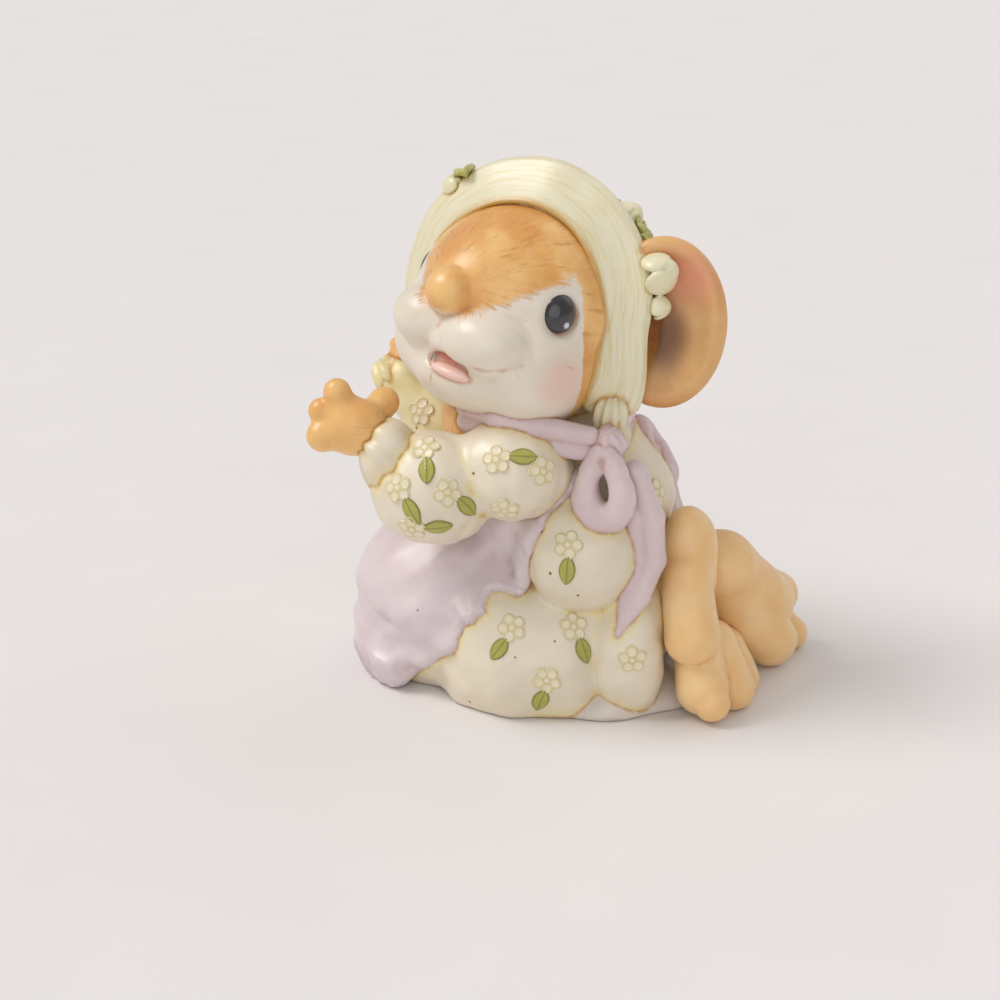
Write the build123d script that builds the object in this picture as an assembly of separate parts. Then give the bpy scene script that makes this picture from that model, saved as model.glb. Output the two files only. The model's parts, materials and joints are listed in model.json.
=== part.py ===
from build123d import *
import os
from math import asin, cos, degrees, radians, sin

# A kneeling mouse in a dress, an apron and a rose-trimmed bonnet, cast in painted resin.
# Her body faces -Y, her left is +X and she rests on Z = 0, in millimetres.
# Shares of place are her left, back and up, in half widths, half lengths and whole
# heights of the dress, or all three in half widths of the head.

# Dress
dress_width = 36.5
dress_length = 43.0
dress_height = 42.0
hem_thickness = 27.4
hem_place_shares = (0.0, -0.21, 0.145)
lap_thickness = 27.6
lap_length = 35.0
lap_place_shares = (0.0, -0.56, 0.215)
skirt_back_width = 26.0
skirt_back_thickness = 18.0
skirt_back_place_shares = (0.0, 0.28, 0.27)
bodice_width = 24.8
neck_width = 19.0
bodice_place_shares = (0.0, 0.02, 0.53)
hip_width = 16.2
hip_place_shares = (0.48, 0.13, 0.508)
fold_width = 9.6
fold_height = 18.0
fold_top_share = 0.83
fold_place_shares = (0.55, 0.43, 0.18)

# Petticoat, whose underside is the face that the figurine rests on
petticoat_width = 31.0
petticoat_length = 37.0
petticoat_height = 4.5
petticoat_edge_share = 0.3
petticoat_back_share = 0.02

# Apron, whose side edges run down from the waist at a slant
apron_thickness = 1.3
apron_top_share = 0.72
apron_edge_slant = 45.0
apron_edge_back_share = -1.0
apron_notch_width = 2.8
apron_notch_pitch = 4.7
apron_notch_count = 8

# Neck ribbon and bow
ribbon_width = 4.4
ribbon_path_shares = ((0.16, -0.68, 0.88), (0.6, -0.48, 0.915), (0.68, -0.1, 0.91), (0.6, 0.27, 0.865))
bow_place_shares = (0.59, 0.36, 0.835)
bow_knot_width = 5.2
loop_width = 8.6
loop_height = 11.6
loop_thickness = 4.8
loop_knot_end_share = 0.6
loop_edge_share = 0.36
slit_width = 1.5
slit_height = 6.2
near_loop_place_shares = (0.66, 0.29, 0.755)
far_loop_place_shares = (0.16, 0.5, 0.79)
far_loop_turn = 75.0
far_loop_lean = 50.0
tail_width = 6.0
tail_length = 20.0
tail_thickness = 3.4
tail_end_share = 0.3
near_tail_place_shares = (0.56, 0.46, 0.74)
near_tail_lean = 14.0
far_tail_place_shares = (0.1, 0.56, 0.72)
far_tail_lean = 8.0

# Arms
puff_width = 14.6
puff_place_shares = (0.65, -0.275, 0.776)
near_sleeve_width = 15.0
near_sleeve_path_shares = ((0.74, -0.56, 0.73), (0.8, -0.735, 0.712))
far_sleeve_width = 13.0
far_elbow_share = 0.78
far_wrist_share = 0.55
far_sleeve_path_shares = ((-0.5, -0.56, 0.74), (-0.13, -0.87, 0.775), (-0.16, -1.1, 0.89))
near_cuff_width = 8.8
near_cuff_place_shares = (0.88, -0.97, 0.817)
far_cuff_width = 6.2
far_cuff_place_shares = (-0.17, -1.17, 0.925)
palm_width = 7.0
palm_length = 8.6
near_palm_place_shares = (0.89, -1.19, 0.905)
far_palm_place_shares = (-0.26, -1.24, 0.975)
finger_width = 3.6
near_finger_shares = (
    (1.0, (0.91, -1.27, 1.02)),
    (0.92, (0.94, -1.36, 0.955)),
    (1.2, (0.99, -1.345, 0.88)),
    (1.12, (0.62, -1.065, 0.948)),
)
far_finger_shares = (
    (0.92, (-0.3, -1.34, 1.01)),
    (0.88, (-0.42, -1.32, 0.985)),
    (0.88, (-0.16, -1.3, 0.99)),
)

# Head, with its own frame turned towards her left
head_width = 28.4
head_turn = 63.0
head_tilt = 15.0
head_roll = -7.0
head_place_shares = (0.082, -0.335, 1.198)
cheek_width = 15.2
cheek_place_shares = (0.465, -0.25, -0.387)
chin_width = 15.0
chin_thickness = 10.0
chin_place_shares = (0.0, -0.53, -0.56)
snout_width = 13.0
snout_tip_share = 0.88
snout_path_shares = ((0.0, -0.3, 0.15), (0.0, -0.7, 0.176))
muzzle_width = 8.6
muzzle_side_share = 0.9
muzzle_path_shares = ((0.19, -0.82, -0.27), (0.46, -0.73, -0.25))
nose_width = 6.1
nose_place_shares = (0.0, -1.03, 0.127)
tongue_width = 6.4
tongue_thickness = 3.6
tongue_place_shares = (0.12, -0.88, -0.53)
eye_width = 5.6
eye_place_shares = (0.755, -0.44, 0.184)
chest_fur_width = 16.0
chest_fur_thickness = 12.0
chest_fur_place_shares = (0.1, -0.5, 0.85)

# Ears, each a dished oval that faces forward and outward
ear_width = 16.0
ear_height = 21.6
ear_thickness = 3.2
ear_base_share = 0.8
ear_edge_share = 0.4
ear_dish_width = 14.0
ear_dish_height = 19.6
ear_dish_depth = 2.2
ear_turn = 38.0
ear_place_shares = (1.23, 0.42, 0.3)

# Bonnet, whose brim is an open ring round the face
brim_radius = 17.8
brim_band_width = 6.6
brim_thickness = 1.3
brim_flare_share = 0.45
brim_opening = 70.0
brim_turn = 14.0
brim_tilt = -3.0
brim_place_shares = (0.07, -0.1, 0.195)
crown_width = 30.4
crown_place_shares = (0.0, 0.18, 0.07)
tie_width = 4.8
tie_place_shares = (1.08, 0.1, -0.7)
rose_width = 6.4
rose_shares = (
    (1.0, (0.86, 0.58, 0.62)),
    (0.72, (0.54, 0.4, 1.04)),
    (0.66, (0.1, 0.42, 1.16)),
    (0.72, (-0.92, -0.22, 0.86)),
)
leaf_width = 3.8
leaf_length = 6.2
leaf_thickness = 1.6
leaf_shares = (
    (25.0, (0.7, 0.46, 0.87)),
    (-35.0, (0.34, 0.36, 1.13)),
    (50.0, (-0.72, -0.16, 1.0)),
    (-20.0, (-1.0, -0.3, 0.66)),
)

# Feet, each a row of long toes that spread from the heel
toe_width = 7.0
near_foot_shares = (
    (1.2, (0.2, 0.36, 0.27), 1.1, (0.22, 0.71, 0.44)),
    (1.05, (0.24, 0.71, 0.5), 0.95, (0.4, 0.75, 0.44)),
    (0.92, (0.38, 0.74, 0.46), 0.97, (0.48, 0.82, 0.27)),
    (1.09, (0.44, 0.79, 0.23), 1.03, (0.58, 0.89, 0.095)),
    (0.91, (0.23, 0.9, 0.17), 0.86, (0.3, 1.04, 0.05)),
    (0.74, (0.0, 0.95, 0.12), 0.69, (0.01, 1.07, 0.024)),
)
far_foot_shares = (
    (1.1, (-0.2, 0.36, 0.25), 1.3, (-0.2, 0.87, 0.36)),
    (1.25, (-0.23, 0.88, 0.37), 1.17, (-0.59, 1.12, 0.2)),
    (0.8, (-0.79, 1.03, 0.24), 0.83, (-0.89, 1.18, 0.185)),
    (1.0, (-0.44, 1.03, 0.18), 1.05, (-0.49, 1.17, 0.085)),
    (0.69, (-0.78, 1.17, 0.105), 0.66, (-0.87, 1.27, 0.028)),
)

# One overrun lets every cut pass its own piece
overrun = 60.0

left_and_right = ((1, "left"), (-1, "right"))


def ball(width):
    """A round form about the origin."""
    return Sphere(width / 2)


def limb(start, end, start_width, end_width):
    """A tapered limb with round ends about two points."""
    run = Vector(*end) - Vector(*start)
    near, far = start_width / 2, end_width / 2
    lean = degrees(asin((near - far) / run.length))

    def rim(radius, angle, height):
        return (radius * cos(radians(angle)), height + radius * sin(radians(angle)))

    foot, top = (0, -near), (0, run.length + far)
    low, high = rim(near, lean, 0), rim(far, lean, run.length)
    outline = [
        ThreePointArc(foot, rim(near, (lean - 90) / 2, 0), low),
        Line(low, high),
        ThreePointArc(high, rim(far, (lean + 90) / 2, run.length), top),
        Line(top, foot),
    ]
    profile = Plane.XZ * make_face(outline)
    return Plane(start, z_dir=run) * revolve(profile, Axis.Z)


def pill(width, thickness, direction):
    """A limb of one thickness about the origin, with its width along a direction."""
    reach = Vector(*direction) * ((width - thickness) / 2)
    return limb(tuple(-reach), tuple(reach), thickness, thickness)


def egg_plate(width, height, end_share, thickness, edge_share):
    """A plate on XZ that is wide at the top and narrow at its foot, with rounded edges."""
    wide, narrow = width / 2, width * end_share / 2
    high, low = height / 2 - wide, narrow - height / 2
    circles = Pos(0, high) * Circle(wide) + Pos(0, low) * Circle(narrow)
    plate = extrude(Plane.XZ * make_hull(circles.edges()), amount=thickness / 2, both=True)
    return fillet(plate.edges(), radius=thickness * edge_share)


def on_dress(place_shares):
    """A place on the body, from shares of the dress."""
    left, back, up = place_shares
    return (left * dress_width / 2, back * dress_length / 2, up * dress_height)


def turned(turn, tilt, roll):
    """A turn towards her left, then a tilt of the face upwards, then a roll to one side."""
    return Rot(0, 0, turn) * Rot(-tilt, 0, 0) * Rot(0, -roll, 0)


def head_frame():
    """The frame of the head: her left on X, back on Y and up on Z."""
    return Pos(*on_dress(head_place_shares)) * turned(head_turn, head_tilt, head_roll)


def in_head(place_shares):
    """A place in the frame of the head, from shares of the head."""
    return tuple(share * head_width / 2 for share in place_shares)


def on_head(place_shares):
    """The frame of the head, moved to a place on it."""
    return head_frame() * Pos(*in_head(place_shares))


def sided(side, form):
    """A form on her left as it is, or on her right as its mirror image."""
    return form if side == 1 else mirror(form, about=Plane.YZ)


def joined(shapes):
    """One solid from shapes that overlap."""
    first, *others = shapes
    return first.fuse(*others)


# Dress


def base_petticoat():
    """The petticoat under the hem, with the flat resting face."""
    outline = SlotOverall(petticoat_length, petticoat_width, rotation=90)
    slab = extrude(outline, amount=petticoat_height)
    top_rim = slab.edges().group_by(Axis.Z)[-1]
    slab = fillet(top_rim, radius=petticoat_height * petticoat_edge_share)
    return Pos(*on_dress((0, petticoat_back_share, 0))) * slab


def hem_form(extra=0):
    """The wide lower lobe of the skirt, or its form grown by an extra thickness."""
    grown = (dress_width + 2 * extra, hem_thickness + 2 * extra)
    return Pos(*on_dress(hem_place_shares)) * pill(*grown, (1, 0, 0))


def lap_form(extra=0):
    """The skirt over her knees, or its form grown by an extra thickness."""
    grown = (lap_length + 2 * extra, lap_thickness + 2 * extra)
    return Pos(*on_dress(lap_place_shares)) * pill(*grown, (0, 1, 0))


def bodice_form(extra=0):
    """The body of the dress, or its form grown by an extra thickness."""
    waist = Vector(*on_dress(bodice_place_shares))
    neck = Vector(waist.X, waist.Y, dress_height - neck_width / 2)
    return limb(waist, neck, bodice_width + 2 * extra, neck_width + 2 * extra)


def skirt_back():
    """The skirt behind her, over her calves."""
    place = Pos(*on_dress(skirt_back_place_shares))
    return place * pill(skirt_back_width, skirt_back_thickness, (-1, 0, 0))


def skirt_hip(side):
    """The drape of the dress over one hip."""
    return sided(side, Pos(*on_dress(hip_place_shares)) * ball(hip_width))


def skirt_fold(side):
    """The hanging fold beside one foot."""
    top_width = fold_width * fold_top_share
    foot, top = (0, 0, (fold_width - fold_height) / 2), (0, 0, (fold_height - top_width) / 2)
    return sided(side, Pos(*on_dress(fold_place_shares)) * limb(foot, top, fold_width, top_width))


# Apron, ribbon and bow


def apron_panel():
    """The apron, a skin over the lap, hem and bodice, with slanted and scalloped side edges."""
    forms = (lap_form, hem_form, bodice_form)
    skin = joined([form(apron_thickness) for form in forms])
    edge = Pos(*on_dress((0, apron_edge_back_share, 0))) * Rot(-apron_edge_slant, 0, 0)
    behind = Pos(0, overrun, 0) * Box(2 * overrun, 2 * overrun, 4 * overrun)
    above = Pos(0, 0, apron_top_share * dress_height + overrun) * Box(*[2 * overrun] * 3)
    panel = skin - edge * behind - above
    notch = Cylinder(apron_notch_width / 2, 2 * overrun, rotation=(0, 90, 0))
    for index in range(apron_notch_count):
        panel = panel - edge * Pos(0, 0, (index + 0.5) * apron_notch_pitch) * notch
    return panel


def neck_ribbon(side):
    """One half of the ribbon that runs from under the chin over the shoulder."""
    places = [on_dress(shares) for shares in ribbon_path_shares]
    runs = [limb(start, end, ribbon_width, ribbon_width) for start, end in zip(places, places[1:])]
    return sided(side, joined(runs))


def bow_knot():
    """The knot of the bow, behind her left shoulder."""
    return Pos(*on_dress(bow_place_shares)) * ball(bow_knot_width)


def bow_loop(place_shares, turn, lean):
    """One loop of the bow, with the slit between its two layers."""
    loop = egg_plate(loop_width, loop_height, loop_knot_end_share, loop_thickness, loop_edge_share)
    slit_outline = SlotOverall(slit_height, slit_width, rotation=90)
    slit = extrude(Plane.XZ * slit_outline, amount=loop_thickness, both=True)
    hanging = Rot(0, 180 + lean, 0) * (loop - slit)
    return Pos(*on_dress(place_shares)) * Rot(0, 0, 90 + turn) * hanging


def bow_tail(place_shares, turn, lean):
    """One flat tail of the bow, which narrows to its end."""
    half, half_end = tail_width / 2, tail_width * tail_end_share / 2
    outline = Polyline((half, 0), (half_end, -tail_length), (-half_end, -tail_length), (-half, 0), close=True)
    strip = extrude(Plane.XZ * make_face(outline), amount=tail_thickness / 2, both=True)
    return Pos(*on_dress(place_shares)) * Rot(0, 0, 90 + turn) * Rot(lean, 0, 0) * strip


# Arms


def sleeve_puff(side):
    """The puffed sleeve over one shoulder."""
    return sided(side, Pos(*on_dress(puff_place_shares)) * ball(puff_width))


def sleeve_fore_left():
    """The full forearm sleeve of the raised arm."""
    elbow, wrist = [on_dress(shares) for shares in near_sleeve_path_shares]
    return limb(elbow, wrist, near_sleeve_width, near_sleeve_width)


def sleeve_fore_right():
    """The forearm sleeve that crosses in front of her chest."""
    shoulder, elbow, wrist = [on_dress(shares) for shares in far_sleeve_path_shares]
    elbow_width = far_sleeve_width * far_elbow_share
    wrist_width = far_sleeve_width * far_wrist_share
    return joined([
        limb(shoulder, elbow, far_sleeve_width, elbow_width),
        limb(elbow, wrist, elbow_width, wrist_width),
    ])


def cuff(place_shares, width):
    """The gathered cuff of one sleeve."""
    return Pos(*on_dress(place_shares)) * ball(width)


def paw(palm_place_shares, finger_shares, size_share=1.0):
    """A paw: a palm and the short fingers that spread from it."""
    palm_place = on_dress(palm_place_shares)
    palm = pill(palm_length * size_share, palm_width * size_share, (0, 1, 0))
    parts = [Pos(*palm_place) * palm]
    for width_share, tip_shares in finger_shares:
        width = finger_width * width_share * size_share
        parts.append(limb(palm_place, on_dress(tip_shares), width, width))
    return joined(parts)


# Head


def head():
    """The skull with its cheeks, chin and snout in one form."""
    parts = [on_head((0, 0, 0)) * ball(head_width)]
    for side, _ in left_and_right:
        cheek = Pos(*in_head(cheek_place_shares)) * ball(cheek_width)
        parts.append(head_frame() * sided(side, cheek))
    parts.append(on_head(chin_place_shares) * pill(chin_width, chin_thickness, (1, 0, 0)))
    root, tip = [in_head(shares) for shares in snout_path_shares]
    parts.append(head_frame() * limb(root, tip, snout_width, snout_width * snout_tip_share))
    return joined(parts)


def muzzle(side):
    """One puff of the muzzle."""
    middle, end = [in_head(shares) for shares in muzzle_path_shares]
    puff = limb(middle, end, muzzle_width, muzzle_width * muzzle_side_share)
    return head_frame() * sided(side, puff)


def nose():
    """The round nose at the tip of the snout."""
    return on_head(nose_place_shares) * ball(nose_width)


def tongue():
    """The pink tongue and lower lip in the open mouth."""
    return on_head(tongue_place_shares) * pill(tongue_width, tongue_thickness, (1, 0, 0))


def eye(side):
    """One round eye, whose axis points out of the head."""
    place = in_head(eye_place_shares)
    return head_frame() * sided(side, Plane(place, z_dir=place).location * ball(eye_width))


def ear(side):
    """One large ear, dished on the side that faces forward."""
    oval = egg_plate(ear_width, ear_height, ear_base_share, ear_thickness, ear_edge_share)
    reach = ear_dish_width / 2
    dish_radius = (reach**2 + ear_dish_depth**2) / (2 * ear_dish_depth)
    dish_centre = ear_dish_depth - ear_thickness / 2 - dish_radius
    dish_size = (2 * dish_radius + ear_dish_height - ear_dish_width, 2 * dish_radius)
    dish = Pos(0, dish_centre, 0) * pill(*dish_size, (0, 0, 1))
    dished = Pos(*in_head(ear_place_shares)) * Rot(0, 0, ear_turn) * (oval - dish)
    return head_frame() * sided(side, dished)


def chest_fur():
    """The fur of her chest under the chin."""
    place = Pos(*on_dress(chest_fur_place_shares))
    return place * pill(chest_fur_width, chest_fur_thickness, (1, 0, 0))


# Bonnet


def brim_frame():
    """The frame of the brim, turned a little more than the head."""
    return on_head(brim_place_shares) * turned(brim_turn, brim_tilt, 0)


def bonnet_brim():
    """The brim, a flared band open under the chin."""
    flare = brim_band_width * brim_flare_share
    inner = brim_radius - brim_band_width
    outline = Polyline(
        (inner, -flare),
        (brim_radius, 0),
        (brim_radius, brim_thickness),
        (inner, brim_thickness - flare),
        close=True,
    )
    band = revolve(make_face(outline), Axis.Y, revolution_arc=360 - brim_opening)
    return brim_frame() * Rot(0, 90 + brim_opening / 2, 0) * band


def bonnet_crown():
    """The crown of the bonnet over the back of the head, behind the brim."""
    cap = on_head(crown_place_shares) * ball(crown_width)
    front = Pos(0, brim_thickness - overrun, 0) * Box(*[2 * overrun] * 3)
    return cap - brim_frame() * front


def bonnet_tie(side):
    """The gathered end of the brim below one cheek."""
    return head_frame() * sided(side, Pos(*in_head(tie_place_shares)) * ball(tie_width))


def bonnet_roses():
    """The rosebuds along the seam between brim and crown."""
    return [
        on_head(place_shares) * ball(rose_width * width_share)
        for width_share, place_shares in rose_shares
    ]


def bonnet_leaves():
    """The leaves between the rosebuds."""
    tip, side = leaf_length / 2, leaf_width / 2
    outline = [
        ThreePointArc((0, -tip), (side, 0), (0, tip)),
        ThreePointArc((0, tip), (-side, 0), (0, -tip)),
    ]
    leaf = extrude(Plane.XZ * make_face(outline), amount=leaf_thickness / 2, both=True)
    return [on_head(place_shares) * Rot(0, lean, 0) * leaf for lean, place_shares in leaf_shares]


# Feet


def foot(row_shares):
    """One foot: calf, heel and long toes in one form."""
    parts = []
    for start_share, start, end_share, end in row_shares:
        ends = (toe_width * start_share, toe_width * end_share)
        parts.append(limb(on_dress(start), on_dress(end), *ends))
    return joined(parts)


# Assembly


def all_forms():
    """Every node with its uncut forms, where a form gives way to the ones before it."""
    forms = {
        "base_petticoat": base_petticoat(),
        "head": head(),
        "bodice": bodice_form(),
        "skirt_lap": lap_form(),
        "skirt_hem": hem_form(),
        "skirt_back": skirt_back(),
        "sleeve_fore_left": sleeve_fore_left(),
        "sleeve_fore_right": sleeve_fore_right(),
        "neck_ribbon_left": neck_ribbon(1),
        "neck_ribbon_right": neck_ribbon(-1),
        "bow_knot": bow_knot(),
        "bow_loop_left": bow_loop(near_loop_place_shares, 0, 0),
        "bow_loop_right": bow_loop(far_loop_place_shares, far_loop_turn, far_loop_lean),
        "nose": nose(),
    }
    for side, name in left_and_right:
        forms["sleeve_puff_" + name] = sleeve_puff(side)
        forms["skirt_hip_" + name] = skirt_hip(side)
        forms["skirt_fold_" + name] = skirt_fold(side)
        forms["muzzle_" + name] = muzzle(side)
        forms["eye_" + name] = eye(side)
    forms["tongue"] = tongue()
    forms["apron_panel"] = apron_panel()
    forms["foot_left"] = foot(near_foot_shares)
    forms["foot_right"] = foot(far_foot_shares)
    forms["bow_tail_left"] = bow_tail(near_tail_place_shares, 0, near_tail_lean)
    forms["bow_tail_right"] = bow_tail(far_tail_place_shares, far_loop_turn, far_tail_lean)
    forms["paw_left"] = paw(near_palm_place_shares, near_finger_shares)
    forms["paw_right"] = paw(far_palm_place_shares, far_finger_shares, far_wrist_share)
    forms["cuff_left"] = cuff(near_cuff_place_shares, near_cuff_width)
    forms["cuff_right"] = cuff(far_cuff_place_shares, far_cuff_width)
    forms["chest_fur"] = chest_fur()
    forms["bonnet_brim"] = bonnet_brim()
    forms["bonnet_crown"] = bonnet_crown()
    for side, name in left_and_right:
        forms["bonnet_tie_" + name] = bonnet_tie(side)
        forms["ear_" + name] = ear(side)
    forms["bonnet_roses"] = bonnet_roses()
    forms["bonnet_leaves"] = bonnet_leaves()
    return forms


def cut_by(shape, others):
    """The main solid that is left of a shape outside the other shapes."""
    for other in others:
        if shape.bounding_box().overlaps(other.bounding_box()):
            shape = max(shape.cut(other).solids(), key=lambda solid: solid.volume)
    return shape


def main():
    """Cut each form by the earlier ones and the resting face, and write it to its file."""
    os.makedirs("parts", exist_ok=True)
    earlier = [Pos(0, 0, -overrun) * Box(4 * overrun, 4 * overrun, 2 * overrun)]
    for node, form in all_forms().items():
        solids = []
        for shape in form if isinstance(form, list) else [form]:
            solids.append(cut_by(shape, earlier))
            earlier.append(shape)
        export_step(solids[0] if len(solids) == 1 else Compound(solids), f"parts/{node}.step")


main()
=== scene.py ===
import json
import math

import bmesh
import bpy
import numpy as np
from bpy.props import FloatProperty, FloatVectorProperty, IntProperty, PointerProperty
from mathutils import Matrix, Vector
from mathutils.bvhtree import BVHTree

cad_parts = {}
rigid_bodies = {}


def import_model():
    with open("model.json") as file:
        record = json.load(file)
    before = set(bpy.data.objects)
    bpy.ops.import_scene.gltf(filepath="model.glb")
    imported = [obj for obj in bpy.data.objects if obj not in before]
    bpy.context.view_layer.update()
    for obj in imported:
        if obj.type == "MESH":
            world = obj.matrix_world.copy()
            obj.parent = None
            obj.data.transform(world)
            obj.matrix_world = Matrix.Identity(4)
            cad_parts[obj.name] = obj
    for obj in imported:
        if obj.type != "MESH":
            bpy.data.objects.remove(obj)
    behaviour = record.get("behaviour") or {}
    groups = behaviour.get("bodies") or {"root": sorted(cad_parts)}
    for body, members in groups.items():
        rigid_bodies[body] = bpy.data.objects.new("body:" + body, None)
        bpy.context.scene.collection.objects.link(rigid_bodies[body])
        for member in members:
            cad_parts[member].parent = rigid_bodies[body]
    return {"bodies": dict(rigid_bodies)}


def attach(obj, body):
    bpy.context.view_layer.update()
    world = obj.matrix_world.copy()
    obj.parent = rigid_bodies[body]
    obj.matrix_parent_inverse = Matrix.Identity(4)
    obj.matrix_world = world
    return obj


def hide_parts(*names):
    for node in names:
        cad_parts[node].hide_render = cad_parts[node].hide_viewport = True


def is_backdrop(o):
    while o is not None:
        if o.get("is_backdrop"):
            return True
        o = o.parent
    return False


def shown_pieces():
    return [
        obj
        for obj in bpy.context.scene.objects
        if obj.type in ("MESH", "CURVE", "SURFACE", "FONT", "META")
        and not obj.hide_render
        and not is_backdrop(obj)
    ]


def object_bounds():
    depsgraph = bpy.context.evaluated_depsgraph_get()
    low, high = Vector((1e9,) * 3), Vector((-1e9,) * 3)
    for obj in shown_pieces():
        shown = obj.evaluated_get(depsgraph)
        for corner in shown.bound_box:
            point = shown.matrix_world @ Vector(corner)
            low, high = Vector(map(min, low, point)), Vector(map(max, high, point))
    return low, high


bl_info = {
    "name": "Mouse Figurine",
    "version": (1, 0, 0),
    "blender": (4, 5, 0),
    "location": "3D View > Sidebar > Figurine",
    "description": "Sculpts and paints a cast resin mouse in a bonnet, dress and apron",
    "category": "Object",
}

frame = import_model()
cad_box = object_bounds()
BODY = next(iter(frame["bodies"]))

# Every place and size below is in millimetres of the 70.75 mm high figurine.
DESIGN_HEIGHT = 70.75
MM = cad_box[1][2] / DESIGN_HEIGHT


# Frames of the turned pieces, as columns forward, left and up


def turned(turn, tilt, roll=0.0):
    """Columns forward, left and up after a turn to her left, a tilt up and a roll, in degrees."""
    t, p, q = math.radians(turn), math.radians(tilt), math.radians(roll)
    forward = np.array([math.sin(t) * math.cos(p), -math.cos(t) * math.cos(p), math.sin(p)])
    left = np.array([math.cos(t), math.sin(t), 0.0])
    up = np.cross(forward, left)
    left, up = left * math.cos(q) + up * math.sin(q), up * math.cos(q) - left * math.sin(q)
    return np.stack([forward, left, up], 1)


def unit(vector):
    """A vector of length 1 in the same direction."""
    vector = np.array(vector, float)
    return vector / np.linalg.norm(vector)


HEAD_TURN, HEAD_TILT, HEAD_ROLL = 63.0, 15.0, -7.0
HEAD_AXES = turned(HEAD_TURN, HEAD_TILT, HEAD_ROLL)
HEAD_CENTRE = np.array([1.5, -7.2, 50.3])
BRIM_AXES = turned(77.0, 12.0, -4.0)
BRIM_CENTRE = np.array([2.3, -6.9, 52.6])


def in_head(forward, left, up):
    """A place given in the frame of the head."""
    return HEAD_CENTRE + HEAD_AXES @ np.array([forward, left, up], float)


# Distance fields of the sculpted forms


def smooth_union(a, b, blend):
    """The nearer of two distances, with a fillet of this size between them."""
    h = np.clip(0.5 + 0.5 * (b - a) / blend, 0, 1)
    return b * (1 - h) + a * h - blend * h * (1 - h)


def smooth_cut(a, b, blend):
    """The farther of two distances, with a rounded edge of this size between them."""
    return -smooth_union(-a, -b, blend)


def add_ball(bm, axes, centre):
    """A unit ball stretched along these axes and set at a centre."""
    matrix = Matrix([[*axes[i], centre[i]] for i in range(3)] + [[0, 0, 0, 1]])
    bmesh.ops.create_icosphere(bm, subdivisions=3, radius=1.0, matrix=matrix)


class Ball:
    """An ellipsoid with half sizes along its own axes."""

    def __init__(self, centre, radii, axes=None, blend=1.0):
        self.centre = np.array(centre, float)
        self.radii = np.array(radii, float)
        self.axes = np.eye(3) if axes is None else axes
        self.blend = blend

    def distance(self, points):
        local = (points - self.centre) @ self.axes / self.radii
        near = np.linalg.norm(local, axis=1)
        slope = np.linalg.norm(local / self.radii, axis=1)
        return near * (near - 1) / np.maximum(slope, 1e-6)

    def start(self, bm):
        add_ball(bm, self.axes * self.radii, self.centre)


class Limb:
    """A tapered limb between two points, with round ends."""

    def __init__(self, start, end, start_radius, end_radius, blend=1.0):
        self.ends = np.array(start, float), np.array(end, float)
        self.widths = start_radius, end_radius
        self.blend = blend

    def distance(self, points):
        start, end = self.ends
        run = end - start
        along = np.clip((points - start) @ run / (run @ run), 0, 1)
        radius = self.widths[0] * (1 - along) + self.widths[1] * along
        return np.linalg.norm(points - start - along[:, None] * run, axis=1) - radius

    def start(self, bm):
        start, end = self.ends
        steps = max(2, int(np.linalg.norm(end - start) / min(self.widths) * 2) + 1)
        for share in np.linspace(0, 1, steps):
            place = start * (1 - share) + end * share
            radius = self.widths[0] * (1 - share) + self.widths[1] * share
            bmesh.ops.create_icosphere(
                bm, subdivisions=2, radius=radius, matrix=Matrix.Translation(place)
            )


class Leaf:
    """A pointed leaf with a folded midrib, lying flat across its own forward axis."""

    def __init__(self, centre, length, width, thickness, axes, blend=0.2):
        self.centre = np.array(centre, float)
        self.size = length / 2, width / 2, thickness / 2
        self.axes = axes
        self.blend = blend

    def distance(self, points):
        out, across, along = ((points - self.centre) @ self.axes).T
        length, width, thickness = self.size
        taper = np.clip(1 - (along / length) ** 2, 0, 1)
        side = np.abs(across) - width * taper**0.8
        veins = 0.16 * np.sin(5.2 * (along - 1.1 * np.abs(across)) / width)
        fold = 0.25 * np.exp(-((across / (0.16 * width)) ** 2))
        lift = 0.5 * np.abs(across) - fold + 0.12 * along**2 / length
        face = np.abs(out - lift) - thickness * (0.8 + veins)
        ends = np.abs(along) - length
        return smooth_cut(smooth_cut(face, side, 0.25), ends, 0.1) * 0.7

    def start(self, bm):
        length, width = self.size[:2]
        add_ball(bm, self.axes * np.array([width * 0.6, width, length]), self.centre)


class Sculpt:
    """Forms that are added to and carved from one another."""

    def __init__(self, *forms):
        self.steps = [(form, True) for form in forms]
        self.shape = None

    def carve(self, *forms):
        self.steps += [(form, False) for form in forms]
        return self

    def reshape(self, shape):
        """shape(points, distance) returns the distance after a last change of form."""
        self.shape = shape
        return self

    def distance(self, points):
        total = None
        for form, added in self.steps:
            distance = form.distance(points)
            if total is None:
                total = distance
            elif added:
                total = smooth_union(total, distance, form.blend)
            else:
                total = smooth_cut(total, -distance, form.blend)
        return self.shape(points, total) if self.shape else total

    def settle(self, points, rounds=7):
        """Points moved along the slope of the field onto its surface."""
        step = 0.02
        for _ in range(rounds):
            here = self.distance(points)
            slope = np.stack(
                [(self.distance(points + step * axis) - here) / step for axis in np.eye(3)], 1
            )
            size = np.maximum(np.linalg.norm(slope, axis=1), 0.3)
            move = np.clip(here / size, -1.0, 1.0)
            points = points - slope / size[:, None] * move[:, None]
        return points


# Meshes and their vertices


def vertices_of(mesh):
    """The vertices of a mesh as rows of an array."""
    rows = np.empty(len(mesh.vertices) * 3)
    mesh.vertices.foreach_get("co", rows)
    return rows.reshape(-1, 3)


def set_vertices(mesh, rows):
    """Move the vertices of a mesh to these rows."""
    mesh.vertices.foreach_set("co", np.ascontiguousarray(rows, float).ravel())
    mesh.update()


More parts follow.
